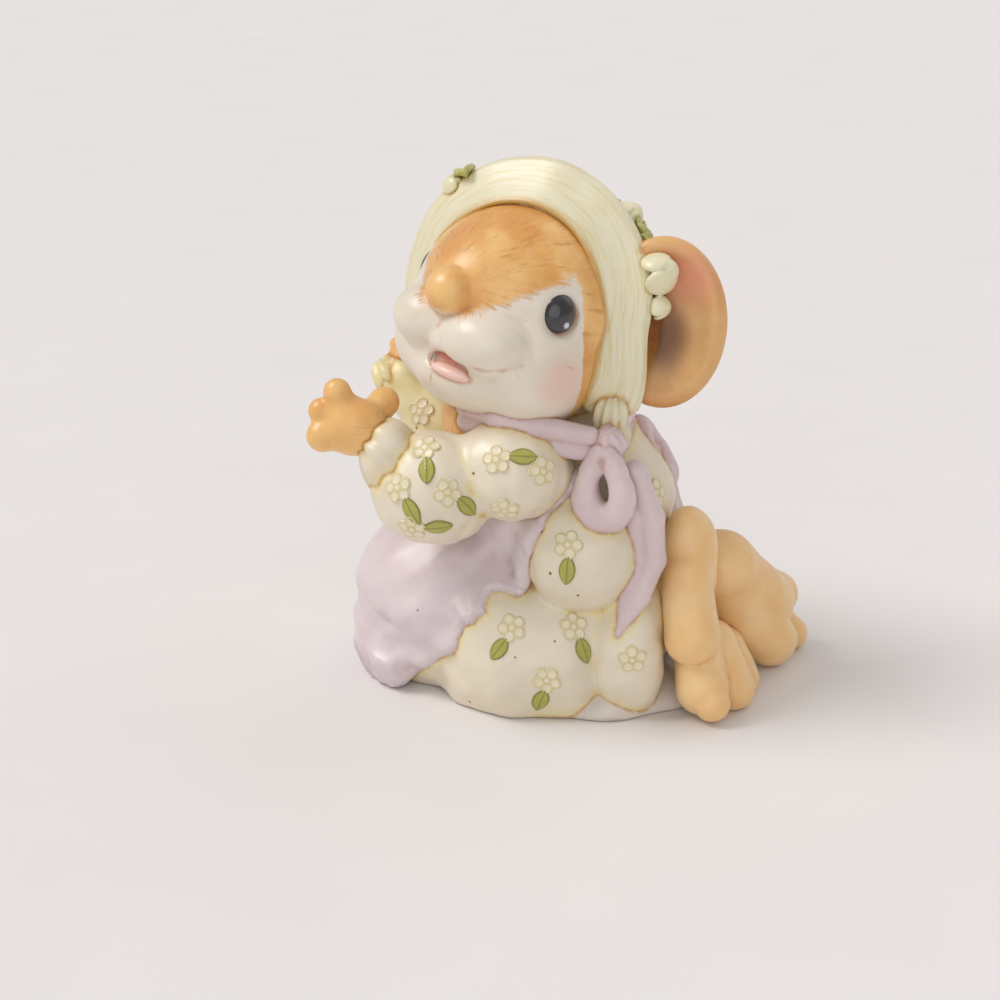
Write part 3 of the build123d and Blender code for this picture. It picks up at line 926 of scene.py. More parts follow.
def paint_head(mesh):
    """Mark the fur of brow, snout and back, the blush and the flow of the strokes."""
    local = (vertices_of(mesh) - HEAD_CENTRE) @ HEAD_AXES
    forward, left, up = local.T
    round_head = np.degrees(np.arctan2(np.abs(left), forward))
    paint(mesh, "mask", step_up(up - np.interp(round_head, *FUR_EDGE.T), -1.7, 1.7))
    inside = np.linalg.norm((local - np.array(MOUTH)) / np.array([4.0, 3.8, 1.7]), axis=1)
    deep = np.linalg.norm(local, axis=1)
    nose = np.linalg.norm(local - np.array(NOSE), axis=1)
    paint(mesh, "furry", step_up(nose, 3.2, 5.2))
    paint(mesh, "mouth", step_up(-inside, -0.95, -0.75) * step_up(-deep, -15.4, -14.6))
    both_sides = np.stack([forward, np.abs(left), up], 1)
    cheek = np.linalg.norm(both_sides - np.array(CHEEK), axis=1)
    paint(mesh, "tint", step_up(-cheek, -5.4, -0.5))
    from_nose = local - np.array([15.0, 0, 3.0])
    paint_flow(
        mesh, np.linalg.norm(from_nose, axis=1), np.arctan2(from_nose[:, 1], from_nose[:, 2]) * 8.0
    )


class FIGURINE_OT_head(bpy.types.Operator):
    """Sculpt the head, eyes, tongue, ears and chest fur"""

    bl_idname = "figurine.head"
    bl_label = "Head and ears"

    def execute(self, context):
        settings = context.scene.figurine
        grain = settings.grain
        face = face_paint(
            colour(232, 222, 206), colour(228, 178, 160), settings.fur, colour(222, 158, 82), DEEP_OCHRE
        )
        mesh = sculpted_mesh("head", head_sculpt(), grain)
        paint_head(mesh)
        finish_piece(mesh, face, "face", "head", "muzzle_left", "muzzle_right", "nose")
        self.tongue(grain)
        self.eyes()
        self.ears(grain)
        chest = Sculpt(Ball((2.0, -10.2, 35.8), (7.8, 7.4, 5.6)))
        mesh = sculpted_mesh("chest_fur", chest, grain)
        rows = vertices_of(mesh)
        paint_flow(mesh, rows[:, 2], rows[:, 0] * 1.5)
        paint(mesh, "mask", np.ones(len(rows)))
        finish_piece(mesh, bpy.data.materials["painted fur"], "fur", "chest_fur")
        return {"FINISHED"}

    def tongue(self, grain):
        """The lower lip with the tongue lying in the mouth."""
        pink = resin_paint(
            "painted tongue", colour(238, 192, 178), colour(242, 208, 196), colour(206, 120, 108),
            rough=0.34,
        )
        lip = Sculpt(Ball(in_head(11.7, 1.7, -8.1), (2.6, 3.6, 1.1), HEAD_AXES))
        mesh = sculpted_mesh("tongue", lip, grain * 0.6)
        up = ((vertices_of(mesh) - HEAD_CENTRE) @ HEAD_AXES)[:, 2]
        paint(mesh, "wash", step_up(up, -7.0, -6.6) * 0.6)
        finish_piece(mesh, pink, "tongue", "tongue")

    def eyes(self):
        """Two glossy black eyes with a small painted catchlight."""
        box = PaintBox("painted eye")
        cloud = box.noise(box.place, 0.8 / MM, 2.0)
        tone = box.mix(box.between(cloud, 0.3, 0.7), colour(16, 16, 20), colour(34, 34, 42))
        tone = box.mix(box.painted("tint"), tone, colour(210, 212, 216))
        black = box.finish(tone, cloud * 0.1 + 0.16, cloud, 0.03, coat=1.0, coat_rough=0.08)
        forward, left, up = EYE_PLACE
        for side, name, ahead, depth in EYES:
            out = unit((forward + ahead, side * left, up))
            level = unit(np.cross(out, (0, 0, 1.0)))
            axes = HEAD_AXES @ np.stack([out, level, np.cross(level, out)], 1)
            centre = in_head(*(out * depth))
            mesh = sculpted_mesh(name + "_eye", Sculpt(Ball(centre, EYE_SIZE, axes)), 0.2)
            local = (vertices_of(mesh) - centre) @ axes
            dot = np.hypot(local[:, 1] + side, local[:, 2] + 1.35)
            paint(mesh, "tint", step_up(-dot, -0.42, -0.3))
            finish_piece(mesh, black, "eye", "eye_" + name)

    def ears(self, grain):
        """Two large ears, dished in front, with painted shade deep in the dish and pink inside."""
        box = PaintBox("painted ear")
        cloud = box.noise(box.place, 0.2 / MM, 3.0)
        brush = box.noise(box.place, 0.9 / MM, 4.0, 0.6)
        tone = box.mix(box.between(cloud, 0.35, 0.65), colour(228, 180, 118), colour(218, 166, 102))
        tone = box.mix(box.painted("tint") * 0.8, tone, colour(222, 140, 112))
        # The mask paints shade: dark brown deep in the dish.
        tone = box.mix(box.between(box.painted("mask"), 0.1, 1.0), tone, colour(122, 78, 40))
        # The wash here is painted shade at the ear's lower end and where pieces meet.
        tone = box.mix(box.painted("wash") * (brush + 0.2), tone, colour(196, 120, 54))
        skin = box.finish(tone, brush * 0.12 + 0.36, brush, 0.04)
        for side, name, lift in ((1, "left", 4.3), (-1, "right", 3.2)):
            axes = turned(HEAD_TURN + 38 * side, 8)
            centre = in_head(-6.0, side * 17.5, lift)

            def on_ear(ahead, out, up):
                return centre + axes @ np.array([ahead, side * out, up], float)

            pinna = Sculpt(
                Ball(centre, (2.6, 8.0, 10.8), axes),
                Ball(on_ear(-0.4, -4.5, -1.5), (2.2, 4.6, 7.0), axes, blend=1.5),
            )
            pinna.carve(
                Limb(on_ear(12.2, -0.5, 2.8), on_ear(12.2, -0.8, -2.8), 12.7, 12.7, blend=0.7),
                Ball(on_ear(1.3, -3.6, -0.8), (3.0, 3.4, 6.4), axes, blend=1.4),
            )
            mesh = sculpted_mesh(name + "_ear", pinna, grain * 0.8)
            ahead, out, up = ((vertices_of(mesh) - centre) @ axes).T
            out = out * side
            front = step_up(normals_of(mesh) @ axes[:, 0], 0.25, 0.6)
            deep = np.hypot((out - 0.2) / 4.6, (up + 1.6) / 7.2)
            # Painted shade deep in the dish, on its front only.
            paint(mesh, "mask", front * step_up(-deep, -1.15, -0.1))
            rosy = np.hypot((out - 2.4) / 4.6, (up - 5.8) / 3.8)
            paint(mesh, "tint", front * step_up(-rosy, -1.4, -0.3))
            # Painted shade: darker towards the ear's lower end, where it meets the bonnet.
            paint(mesh, "wash", step_up(-up, 7.5, 10.5) * 0.8)
            finish_piece(mesh, skin, "ear", "ear_" + name)


# Bonnet

# Roses as a place on the head and a radius; leaves as a place, a lean in degrees and a length.
ROSES = (
    ((-3.4, 16.9, 10.4), 3.3),
    ((-4.6, 17.4, 6.2), 2.0),
    ((-5.8, 7.9, 15.4), 2.7),
    ((-5.4, 2.0, 16.4), 2.2),
    ((4.2, -13.2, 12.7), 2.0),
)
BONNET_LEAVES = (
    ((-6.0, 10.2, 14.0), 25, 5.4),
    ((-5.6, 12.8, 12.4), -30, 5.0),
    ((-4.4, 4.9, 16.6), -70, 5.0),
    ((3.9, -11.9, 14.5), 70, 5.2),
    ((2.0, -14.4, 11.6), 0, 4.6),
)

# The brim runs this far round to each side of its top.
BRIM_REACH = math.radians(135)
BRIM_INNER, BRIM_WIDTH, BRIM_SAG = 11.6, 6.1, 3.7


def facing(place):
    """Axes at a place on the head: out of the head, level and up along it."""
    out = unit(place)
    level = unit(np.cross((0, 0, 1.0), out))
    return HEAD_AXES @ np.stack([out, level, np.cross(out, level)], 1)


def brim_band(angle):
    """Inner radius and width of the brim at an angle from its top; it sags at its lower corners."""
    narrow = 1 - 0.4 * step_up(np.abs(angle), math.radians(120), BRIM_REACH)
    sag = step_up(np.abs(angle), math.radians(92), math.radians(130))
    sag = sag * np.where(angle > 0, 1.0, 0.35)
    return BRIM_INNER + BRIM_SAG * sag, (BRIM_WIDTH + 0.5 * sag) * narrow


def brim_curl(share):
    """How far the brim stands ahead of its plane, from its inner edge at 0 to its outer at 1."""
    return 3.4 * (1 - share) ** 1.6 - 0.5 * share**3


class FIGURINE_OT_bonnet(bpy.types.Operator):
    """Sculpt the bonnet's brim, crown, ties, roses and leaves"""

    bl_idname = "figurine.bonnet"
    bl_label = "Bonnet"

    def execute(self, context):
        settings = context.scene.figurine
        straw = self.brim_paint(settings.bonnet)
        self.brim(settings, straw)
        self.crown(settings, straw)
        for side, name in ((1, "left"), (-1, "right")):
            centre = in_head(-2.7, side * 16.0, -8.2)
            tie = Sculpt(
                Ball(centre, (2.3, 2.1, 2.9), HEAD_AXES),
                Ball(centre + np.array([0.4, 0.4, -2.2]), (2.3, 2.2, 1.3), HEAD_AXES, blend=0.6),
            )
            tie.reshape(gathered(centre, (0, 0.1, 1), 8, 0.22))
            mesh = sculpted_mesh(name + "_tie", tie, settings.grain * 0.6)
            rows = vertices_of(mesh)
            paint_flow(mesh, rows[:, 2], rows[:, 0] + rows[:, 1])
            finish_piece(mesh, straw, "bonnet", "bonnet_tie_" + name)
        self.roses(settings.grain)
        self.leaves()
        return {"FINISHED"}

    def brim_paint(self, base):
        """Pale bonnet paint with long brush streaks and a yellow wash, partly painted shade."""
        box = PaintBox("painted bonnet")
        streaks = box.noise(box.stretched(box.flow(), 0.12, 2.2, 2.2), 1.0, 4.0, 0.65)
        cloud = box.noise(box.place, 0.12 / MM, 3.0)
        tone = box.mix(box.between(cloud, 0.35, 0.65), base, colour(226, 218, 190))
        tone = box.mix(box.between(streaks, 0.44, 0.7) * 0.6, tone, colour(214, 196, 124))
        # The wash along the inner edge, at the lower corners and where pieces meet: partly the bonnet's own
        # wash, partly painted shade.
        wash_and_shade = box.painted("wash") * (streaks * 0.9 + 0.4)
        tone = box.mix(box.between(wash_and_shade, 0.15, 0.95), tone, colour(196, 152, 70))
        return box.finish(tone, streaks * 0.14 + 0.34, streaks, 0.09)

    def brim(self, settings, straw):
        """The flared band round the face, open under the chin, with soft waves."""
        bm = bmesh.new()
        around, across = 220, 22
        bmesh.ops.create_grid(bm, x_segments=around, y_segments=across, size=1.0)
        everything = bm.verts[:] + bm.edges[:] + bm.faces[:]
        bmesh.ops.solidify(bm, geom=everything, thickness=0.2)
        mesh = new_mesh("brim", bm)
        rows = vertices_of(mesh)
        top = rows[:, 2] > rows[:, 2].mean()
        angle = rows[:, 0] / np.abs(rows[:, 0]).max() * BRIM_REACH
        share = rows[:, 1] / np.abs(rows[:, 1]).max() * 0.5 + 0.5
        inner, width = brim_band(angle)
        wave = 0.3 * np.sin(settings.brim_waves * angle + 0.6) + 0.15 * np.sin(11 * angle)
        radius = inner + width * share + 0.25 * wave * share
        ahead = brim_curl(share) + wave * 0.6 * share
        rounding = np.sqrt(np.clip(1 - (2 * share - 1) ** 8, 0, 1)) * 0.66
        ahead = ahead + np.where(top, 1, -1) * (rounding + 0.02)
        left, up = np.sin(angle) * radius, np.cos(angle) * radius
        place = np.stack([ahead, left, up], 1) @ BRIM_AXES.T + BRIM_CENTRE
        set_vertices(mesh, place)
        bm = bmesh.new()
        bm.from_mesh(mesh)
        bmesh.ops.recalc_face_normals(bm, faces=bm.faces[:])
        bm.to_mesh(mesh)
        bm.free()
        paint_flow(mesh, angle * 15, share * 6)
        # Darker along the inner edge next to the head and at the lower corners: partly the bonnet's wash,
        # partly painted shade.
        paint(mesh, "wash", step_up(-share, -0.28, 0.0) * 0.8 + 0.5 * step_up(np.abs(angle), 2.0, 2.5))
        finish_piece(mesh, straw, "bonnet", "bonnet_brim")

    def crown(self, settings, straw):
        """The crown over the back of the head, gathered at its seams."""
        centre = in_head(-2.6, 0, 1.0)
        form = Sculpt(Ball(centre, (14.6, 15.1, 15.1), HEAD_AXES))

        def pleated(points, distance):
            ahead, left, up = ((points - BRIM_CENTRE) @ BRIM_AXES).T
            angle = np.arctan2(left, up)
            fade = step_up(ahead, -12.0, -2.0)
            pleats = 0.34 * fade * np.sin(settings.crown_pleats * angle + 2 * np.sin(3 * angle))
            inner, width = brim_band(angle)
            share = np.clip((np.hypot(left, up) - inner) / width, 0, 1)
            joined = 1 - step_up(np.abs(angle), math.radians(128), math.radians(142))
            front = brim_curl(share) * joined - 0.35
            return smooth_cut(distance + pleats + 0.2 * waves(points, 9, 8.0), ahead - front, 0.6)

        mesh = sculpted_mesh("crown", form.reshape(pleated), settings.grain)
        ahead, left, up = ((vertices_of(mesh) - BRIM_CENTRE) @ BRIM_AXES).T
        calm = np.minimum(np.hypot(left, up) / 9.0, 1.0) * 12 / np.maximum(np.hypot(left, up), 0.1)
        paint_flow(mesh, ahead, left * calm, up * calm)
        finish_piece(mesh, straw, "bonnet", "bonnet_crown")

    def roses(self, grain):
        """Rosebuds with a ring of petals round each heart, along the seam of the brim."""
        petal = resin_paint(
            "painted rose", colour(224, 216, 166), colour(232, 226, 192), colour(168, 156, 84),
            rough=0.36,
        )
        roses = []
        for turn, (place, radius) in enumerate(ROSES):
            out, level, rise = facing(place).T
            centre = in_head(*place)
            roses.append(Ball(centre + out * radius * 0.2, [radius * 0.5] * 3, blend=0.1))
            for index in range(6):
                inner = index % 2
                angle = math.pi * index / 3 + turn
                side = level * math.cos(angle) + rise * math.sin(angle)
                lean = unit(out * (0.8 if inner else 0.35) + side)
                beside = np.cross(out, side)
                axes = np.stack([lean, beside, np.cross(lean, beside)], 1)
                middle = centre + side * radius * (0.26 if inner else 0.46)
                middle = middle + out * radius * 0.28 * inner
                size = np.array([0.26, 0.62, 0.58]) * radius * (0.8 if inner else 1.0)
                roses.append(Ball(middle, size, axes, blend=0.1))
        mesh = sculpted_mesh("roses", Sculpt(*roses), grain * 0.6)
        finish_piece(mesh, petal, "rose", "bonnet_roses")

    def leaves(self):
        """Pointed leaves between the rosebuds."""
        green = resin_paint(
            "painted leaf", colour(182, 182, 98), colour(200, 198, 130), colour(132, 130, 52),
            rough=0.36,
        )
        leaves = []
        for place, lean, length in BONNET_LEAVES:
            out, level, rise = facing(place).T
            c, s = math.cos(math.radians(lean)), math.sin(math.radians(lean))
            axes = np.stack([out, c * level - s * rise, s * level + c * rise], 1)
            leaves.append(Leaf(in_head(*place), length, length * 0.6, 0.9, axes))
        mesh = sculpted_mesh("leaves", Sculpt(*leaves), 0.18)
        finish_piece(mesh, green, "leaf", "bonnet_leaves")


# Ribbon

# The two parts of the ribbon round the neck, as the places that each runs through.
NECK_RIBBONS = (
    ("left", (
        (3.2, -15.0, 37.4), (8.6, -12.4, 38.4), (12.4, -7.4, 38.4), (13.2, -1.9, 37.8),
        (12.2, 4.4, 36.8),
    )),
    ("right", (
        (3.2, -15.0, 37.4), (-6.0, -12.6, 38.0), (-10.2, -8.0, 37.6), (-10.4, -1.9, 36.8),
        (-7.0, 3.6, 36.3), (0.0, 6.0, 36.2), (6.0, 6.4, 36.4), (10.6, 6.2, 36.7),
    )),
)

# Each bow loop: its middle, its direction, its half width, its half height and its lean inwards.
BOW_LOOPS = (
    ("left", (12.8, 6.3, 31.8), (0.12, 1.0, 0.0), 3.0, 4.5, 0.0),
    ("right", (-3.0, 9.2, 31.4), (-0.97, 0.1, -0.15), 2.8, 3.5, 1.7),
)

# Each bow tail: the places it runs through, its radii there and how its two halves spread.
BOW_TAILS = (
    ("left", (
        (10.2, 8.6, 33.0), (10.2, 10.9, 27.0), (10.6, 11.3, 21.5), (12.0, 10.3, 16.8),
        (13.6, 8.7, 12.2),
    ), (1.5, 1.6, 1.6, 1.5, 0.5), (0.0, 2.2, 0.0)),
    ("right", (
        (-3.2, 9.0, 31.5), (-5.2, 10.4, 27.0), (-6.2, 11.4, 22.0), (-6.4, 12.8, 17.4),
        (-5.8, 15.2, 12.0),
    ), (1.4, 1.5, 1.5, 1.4, 0.5), (2.0, 0.0, 0.0)),
)


def chain(points, radii, blend):
    """Limbs that follow one another through these points."""
    joints = list(zip(points, radii))
    return [
        Limb(start, end, start_radius, end_radius, blend)
        for (start, start_radius), (end, end_radius) in zip(joints, joints[1:])
    ]


def band(points, radii, spread, pointed=False):
    """Two chains side by side: a flat band with a groove, whose chains may meet in a point."""
    forms = []
    for shift in (-0.5, 0.5):
        moved = []
        for left_over, point in zip(range(len(points) - 1, -1, -1), points):
            apart = min(1.0, left_over / 2) if pointed else 1.0
            moved.append(np.array(point) + np.array(spread) * shift * apart)
        forms += chain(moved, radii, 0.5)
    return forms


def bow_loop(centre, along, wide, high, lean):
    """A fat creased band bent round on itself that leaves a slit and may lean inwards."""
    along = unit(along)
    ring, radii = [], []
    for index in range(17):
        angle = 2 * math.pi * index / 16
        drop = math.cos(angle)
        spread = math.sin(angle) * wide * (0.75 - 0.3 * drop)
        ring.append(np.array(centre) + along * spread + np.array([0, -drop * lean, drop * high]))
        radii.append(1.5 - 0.35 * drop)

    def creased(points, distance):
        return distance + 0.12 * waves(points, 12, 3.2)

    return Sculpt(*chain(ring, radii, 0.6)).reshape(creased)


class FIGURINE_OT_ribbon(bpy.types.Operator):
    """Sculpt the neck ribbon and its bow"""

    bl_idname = "figurine.ribbon"
    bl_label = "Ribbon and bow"

    def execute(self, context):
        grain = context.scene.figurine.grain * 0.75
        silk = resin_paint(
            "painted ribbon", colour(222, 203, 203), colour(212, 190, 192), colour(186, 146, 126),
            relief=0.02,
        )
        for name, path in NECK_RIBBONS:
            radii = [1.2, 1.5, 1.6] + [1.5] * (len(path) - 4) + [1.2]
            sash = Sculpt(*band(path, radii, (0.5, 0.0, 2.3)))
            mesh = sculpted_mesh(name + "_ribbon", sash, grain)
            finish_piece(mesh, silk, "ribbon", "neck_ribbon_" + name)
        knot = Sculpt(
            Ball((11.6, 6.4, 36.8), (2.0, 2.3, 2.2)),
            Ball((12.2, 6.3, 35.4), (1.7, 1.6, 1.6), blend=0.6),
        ).reshape(gathered((11.6, 6.4, 36.4), (0.3, 0, 1), 7, 0.16))
        finish_piece(sculpted_mesh("knot", knot, grain), silk, "ribbon", "bow_knot")
        for name, *form in BOW_LOOPS:
            mesh = sculpted_mesh(name + "_loop", bow_loop(*form), grain)
            finish_piece(mesh, silk, "ribbon", "bow_loop_" + name)
        for name, path, radii, spread in BOW_TAILS:
            tail = Sculpt(*band(path, radii, spread, pointed=True))
            mesh = sculpted_mesh(name + "_tail", tail, grain)
            finish_piece(mesh, silk, "ribbon", "bow_tail_" + name)
        return {"FINISHED"}


# Flower sprigs in low relief

# Each sprig is a place near the cloth, the direction of its leaf in degrees and its piece.
# A sprig without a direction has no leaf.
SPRIGS = (
    ((18.0, -15.4, 36.5), 285, "left_sleeve"),
    ((21.3, -18.0, 32.1), 304, "left_sleeve"),
    ((20.7, -11.8, 31.9), 315, "left_sleeve"),
    ((21.5, -16.2, 26.9), 356, "left_sleeve"),
    ((18.4, -6.1, 35.9), 7, "left_sleeve"),
    ((17.0, -0.6, 34.4), None, "left_sleeve"),
    ((18.4, -5.0, 29.5), None, "left_sleeve"),
    ((13.0, -22.0, 27.0), 250, "left_sleeve"),
    ((9.0, -17.5, 33.5), 200, "left_sleeve"),
    ((1.9, -21.0, 35.8), None, "right_sleeve"),
    ((-7.5, -19.0, 33.0), 250, "right_sleeve"),
    ((-18.0, -6.0, 34.0), 200, "right_sleeve"),
    ((-14.0, -15.0, 32.0), 250, "right_sleeve"),
    ((-16.0, -10.0, 28.0), 280, "right_sleeve"),
    ((-12.0, -2.0, 34.0), 300, "right_sleeve"),
    ((16.0, 2.5, 24.6), 265, "dress"),
    ((16.5, -4.6, 12.7), 236, "dress"),
    ((14.5, 3.1, 12.9), 283, "dress"),
    ((17.1, 0.2, 6.2), 248, "dress"),
    ((14.3, 10.7, 9.1), None, "dress"),
    ((6.0, 11.9, 29.0), 260, "dress"),
    ((-16.5, 2.0, 21.5), 275, "dress"),
    ((-18.5, -6.0, 11.5), 305, "dress"),
    ((-17.5, 2.0, 9.5), 265, "dress"),
    ((-18.0, -1.5, 4.5), 285, "dress"),
    ((-15.5, 9.5, 6.5), 260, "dress"),
    ((-5.0, 12.5, 29.0), 280, "dress"),
    ((-9.0, 9.0, 25.0), 250, "dress"),
    ((0.0, 15.0, 8.0), 270, "dress"),
)

# What lies lower than this in a sprig's own heights is left out.
SPRIG_FLOOR = -0.3


class FIGURINE_OT_sprigs(bpy.types.Operator):
    """Raise the flower sprigs from the cloth"""

    bl_idname = "figurine.sprigs"
    bl_label = "Flower sprigs"

    def execute(self, context):
        settings = context.scene.figurine
        paint_material = self.sprig_paint()
        carriers = sorted({carrier for place, turn, carrier in SPRIGS})
        for carrier in carriers:
            cloth = bpy.data.objects[carrier]
            tree = BVHTree.FromObject(cloth, context.evaluated_depsgraph_get())
            bm = bmesh.new()
            layers = [bm.verts.layers.float.new(name) for name in ("wash", "mask")]
            for place, turn, owner in SPRIGS:
                if owner == carrier:
                    self.raise_sprig(bm, tree, place, turn, settings, layers)
            mesh = new_mesh(carrier + "_sprigs", bm)
            finish_piece(mesh, paint_material, "dress")
        return {"FINISHED"}

    def sprig_paint(self):
        """Cream petals with yellow outlines and olive leaves."""
        box = PaintBox("painted sprig")
        brush = box.noise(box.place, 1.2 / MM, 3.0)
        petal = box.mix(brush, colour(234, 225, 200), colour(230, 219, 186))
        petal = box.mix(box.between(box.painted("wash"), 0.15, 0.9) * 0.75, petal, colour(212, 194, 132))
        leaf = box.mix(brush, colour(184, 178, 86), colour(164, 160, 68))
        leaf = box.mix(box.between(box.painted("wash"), 0.3, 0.9) * 0.8, leaf, colour(132, 126, 52))
        tone = box.mix(box.painted("mask"), petal, leaf)
        return box.finish(tone, brush * 0.1 + 0.36, brush, 0.02)

    def raise_sprig(self, bm, tree, place, turn, settings, layers):
        """One flower, and a leaf if it has a direction, laid on the cloth below them."""
        hit, normal = tree.find_nearest(Vector(place) * MM)[:2]
        out = np.array(normal)
        level = unit(np.cross((0, 0, 1.0), out))
        rise = np.cross(out, level)
        angle = math.radians(turn or 0)
        stem = level * math.cos(angle) + rise * math.sin(angle)
        cross = np.cross(out, stem)
        centre = np.array(hit) / MM
        wide = settings.sprig_width / 2
        parts = [(centre, flower_height, 0.0)]
        if turn is not None:
            parts.append((centre + stem * wide * 1.5 + cross * 0.35, leaf_height, 1.0))
        for middle, form, green in parts:
            grid = bmesh.ops.create_grid(bm, x_segments=52, y_segments=52, size=wide * 1.1)
            verts = grid["verts"]
            flat = np.array([vert.co for vert in verts])[:, :2]
            heights, lines = form(flat / wide)
            outside = []
            for vert, (u, v), height, line in zip(verts, flat, heights, lines):
                above = middle + stem * u + cross * v + out * 2.0
                spot, slope = tree.ray_cast(Vector(above) * MM, Vector(-out), 5 * MM)[:2]
                if spot is None or height < SPRIG_FLOOR:
                    outside.append(vert)
                    continue
                vert.co = spot / MM + slope * height * settings.sprig_relief
                vert[layers[0]], vert[layers[1]] = line, green
            bmesh.ops.delete(bm, geom=outside, context="VERTS")


def flower_height(flat):
    """Height and outline of a flower with five round petals, on a field from -1 to 1."""
    height = np.full(len(flat), -1.0)
    line = np.zeros(len(flat))
    for index in range(5):
        angle = 2 * math.pi * index / 5 + 0.4
        middle = np.array([math.cos(angle), math.sin(angle)]) * 0.53
        reach = np.linalg.norm(flat - middle, axis=1)
        rim = np.exp(-(((reach - 0.3) / 0.07) ** 2))
        dome = 0.55 - 1.6 * np.maximum(reach - 0.34, 0) / 0.12
        petal = dome + 0.45 * rim
        line = np.where(petal > height, rim * 0.9, line)
        height = np.maximum(height, petal)
    reach = np.linalg.norm(flat, axis=1)
    heart = 1.0 - 4.0 * np.maximum(reach - 0.17, 0) / 0.3
    rim = np.exp(-(((reach - 0.2) / 0.06) ** 2))
    line = np.where(heart > height, rim, line)
    return np.maximum(height, heart), line


def leaf_height(flat):
    """Height and veins of a pointed leaf, on a field from -1 to 1."""
    u, v = flat.T
    half = 0.46 * np.clip(1 - (u / 0.8) ** 2, 0, 1) ** 0.75
    edge = half - np.abs(v)
    rib = np.exp(-((v / 0.06) ** 2))
    veins = 0.5 + 0.5 * np.sin(26 * (u + 0.8 * np.abs(v)))
    height = np.where(edge > 0, 0.75 + 0.35 * rib + 0.12 * veins, 0.75 + edge * 14)
    height = np.where(np.abs(u) > 0.84, -1.0, height)
    line = np.maximum(np.maximum(rib, np.exp(-((edge / 0.09) ** 2))), 0.45 * veins)
    return np.maximum(height, -1.0), line


# Crevices

# How near another piece takes the wash, partly painted shade, and the distance noted where none is near, in
# millimetres.
CONTACT_REACH, NO_CONTACT = 2.0, 9.0


class FIGURINE_OT_crevices(bpy.types.Operator):
    """Darken the paint with a wash in dips and where pieces meet, partly painted shade"""

    bl_idname = "figurine.crevices"
    bl_label = "Crevice wash"

    def execute(self, context):
        graph = context.evaluated_depsgraph_get()
        pieces = [
            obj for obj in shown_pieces()
            if "wash" in obj.data.attributes and "sprigs" not in obj.name
        ]
        trees = {obj.name: BVHTree.FromObject(obj, graph) for obj in pieces}
        places = {obj.name: vertices_of(obj.data) for obj in pieces}
        reach = CONTACT_REACH * MM
        for obj in pieces:
            rows = places[obj.name]
            near = np.full(len(rows), NO_CONTACT)
            for other in pieces:
                if other is obj or other.name.endswith("eye"):
                    continue
                low, high = places[other.name].min(0), places[other.name].max(0)
                inside = ((rows > low - reach) & (rows < high + reach)).all(1)
                for index in np.nonzero(inside)[0]:
                    gap = trees[other.name].find_nearest(rows[index], reach)[3]
                    if gap is not None:
                        near[index] = min(near[index], gap / MM)
            # Darkening near other pieces and in dips: partly the figurine's own ochre wash, partly painted
            # shade.
            contact = np.maximum(np.exp(-((near / 0.4) ** 2)), 0.36 * np.exp(-((near / 1.3) ** 2)))
            dips = hollows(obj.data, 12, 0.16 * MM)
            layer = obj.data.attributes["wash"]
            before = np.empty(len(rows), np.float32)
            layer.data.foreach_get("value", before)
            dips *= 0.2 if obj.name == "head" else 0.7
            total = np.clip(before + np.maximum(contact * 0.8, dips), 0, 1)
            layer.data.foreach_set("value", total.astype(np.float32))
        return {"FINISHED"}


# Stage

CAMERA_PLACE = (258.2, 58.6, 121.0)
CAMERA_AZIMUTH, CAMERA_ELEVATION = 105.0, 20.0
CAMERA_LENS = 76.63


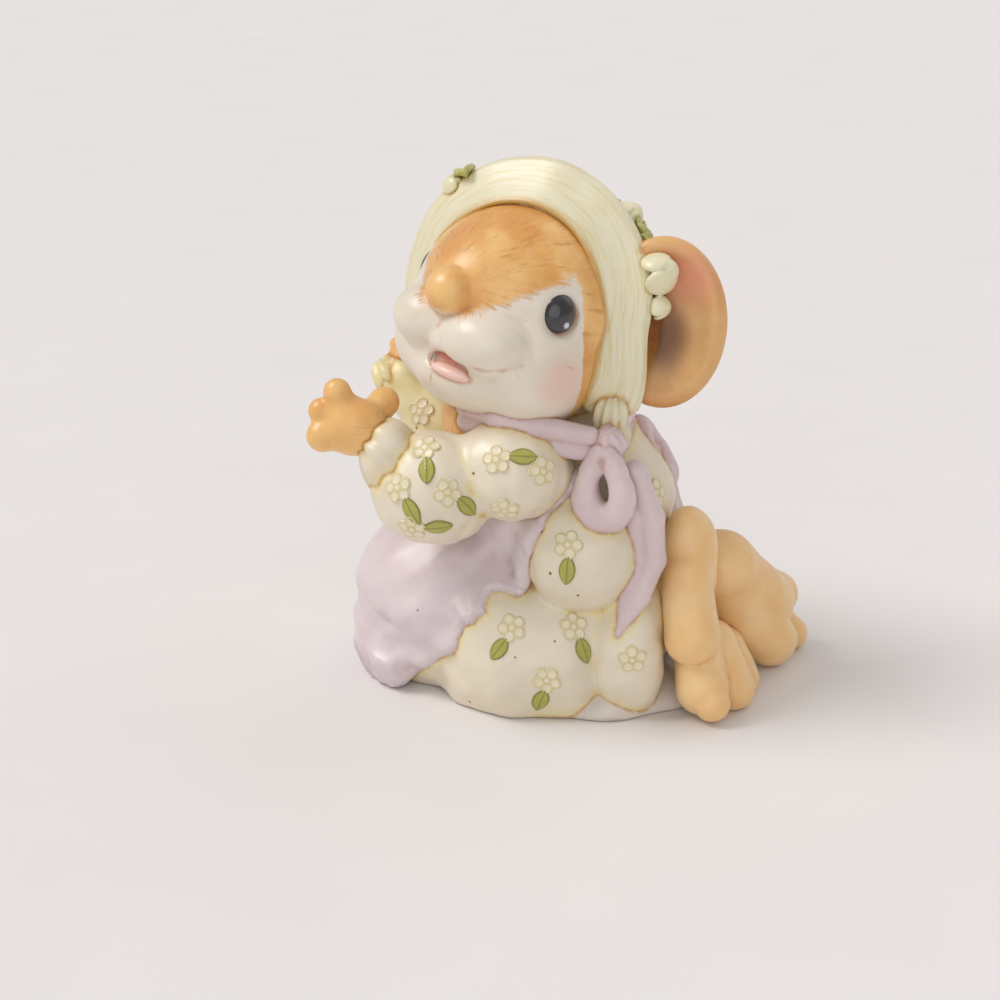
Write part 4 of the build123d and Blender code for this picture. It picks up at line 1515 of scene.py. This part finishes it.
class FIGURINE_OT_stage(bpy.types.Operator):
    """Set the floor, the lights and the camera"""

    bl_idname = "figurine.stage"
    bl_label = "Stage"

    def execute(self, context):
        scene = context.scene
        self.floor()
        self.world(scene)
        self.sun("key", (60, -230, 300), 1.5, 28, (1.0, 0.97, 0.94))
        self.sun("fill", (330, 60, 120), 0.55, 60, (0.96, 0.97, 1.0))
        self.sun("back", (-240, 200, 220), 0.35, 60, (1.0, 0.98, 0.96))
        camera = bpy.data.cameras.new("camera")
        camera.lens, camera.sensor_width = CAMERA_LENS, 36.0
        camera.clip_start, camera.clip_end = 1 * MM, 9000 * MM
        obj = bpy.data.objects.new("camera", camera)
        obj.location = Vector(CAMERA_PLACE) * MM
        obj.rotation_euler = (
            math.radians(90 - CAMERA_ELEVATION), 0.0, math.radians(CAMERA_AZIMUTH)
        )
        scene.collection.objects.link(obj)
        scene.camera = obj
        scene.view_settings.view_transform = "Standard"
        return {"FINISHED"}

    def floor(self):
        """A pale floor of two close tones."""
        bm = bmesh.new()
        bmesh.ops.create_grid(bm, x_segments=1, y_segments=1, size=2500 * MM)
        mesh = new_mesh("floor", bm)
        box = PaintBox("pale floor")
        grain = box.noise(box.place, 0.04 / MM, 2.0)
        tone = box.mix(grain, colour(236, 233, 232), colour(230, 227, 227))
        inputs = {"Base Color": tone, "Roughness": 0.75}
        surface = box.node("ShaderNodeBsdfPrincipled", {}, inputs, "BSDF")
        box.node("ShaderNodeOutputMaterial", {}, {"Surface": surface})
        mesh.materials.append(box.material)
        obj = bpy.data.objects.new("floor", mesh)
        bpy.context.scene.collection.objects.link(obj)
        obj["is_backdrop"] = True

    def world(self, scene):
        """Soft light from all round, and white where the camera sees past the floor."""
        world = bpy.data.worlds.new("studio")
        box = NodeBox(world)
        inputs = {"Color": (1.0, 0.98, 0.97, 1.0), "Strength": 0.5}
        light = box.node("ShaderNodeBackground", {}, inputs)
        inputs = {"Color": (1.0, 1.0, 1.0, 1.0), "Strength": 1.0}
        seen = box.node("ShaderNodeBackground", {}, inputs)
        ray = box.node("ShaderNodeLightPath", {}, {}, "Is Camera Ray")
        mixed = box.node("ShaderNodeMixShader", {}, {0: ray, 1: light, 2: seen})
        box.node("ShaderNodeOutputWorld", {}, {"Surface": mixed})
        scene.world = world

    def sun(self, name, place, strength, angle, tint):
        """A soft lamp that shines evenly from the direction of a place."""
        data = bpy.data.lights.new(name, "SUN")
        data.energy, data.angle = strength, math.radians(angle)
        data.color = tint
        obj = bpy.data.objects.new(name, data)
        obj.location = Vector(place) * MM
        obj.rotation_euler = Vector(place).to_track_quat("Z", "Y").to_euler()
        bpy.context.scene.collection.objects.link(obj)


class FIGURINE_PT_panel(bpy.types.Panel):
    """Sizes, colours and build steps of the figurine"""

    bl_label = "Mouse figurine"
    bl_idname = "FIGURINE_PT_panel"
    bl_space_type = "VIEW_3D"
    bl_region_type = "UI"
    bl_category = "Figurine"

    def draw(self, context):
        settings = context.scene.figurine
        sizes = ("grain", "sprig_relief", "sprig_width", "brim_waves", "crown_pleats")
        for name in (*sizes, "fur", "dress", "apron", "bonnet"):
            self.layout.prop(settings, name)
        for step in STEPS:
            self.layout.operator(step.bl_idname)


STEPS = (
    FIGURINE_OT_dress,
    FIGURINE_OT_arms,
    FIGURINE_OT_feet,
    FIGURINE_OT_head,
    FIGURINE_OT_bonnet,
    FIGURINE_OT_ribbon,
    FIGURINE_OT_sprigs,
    FIGURINE_OT_crevices,
    FIGURINE_OT_stage,
)
CLASSES = (FigurineSettings, *STEPS, FIGURINE_PT_panel)


def register():
    for item in CLASSES:
        bpy.utils.register_class(item)
    bpy.types.Scene.figurine = PointerProperty(type=FigurineSettings)


def unregister():
    del bpy.types.Scene.figurine
    for item in reversed(CLASSES):
        bpy.utils.unregister_class(item)


def main():
    """Build every piece and the stage in order."""
    register()
    bpy.ops.figurine.dress()
    bpy.ops.figurine.arms()
    bpy.ops.figurine.feet()
    bpy.ops.figurine.head()
    bpy.ops.figurine.bonnet()
    bpy.ops.figurine.ribbon()
    bpy.ops.figurine.sprigs()
    bpy.ops.figurine.crevices()
    bpy.ops.figurine.stage()


if __name__ == "__main__":
    main()
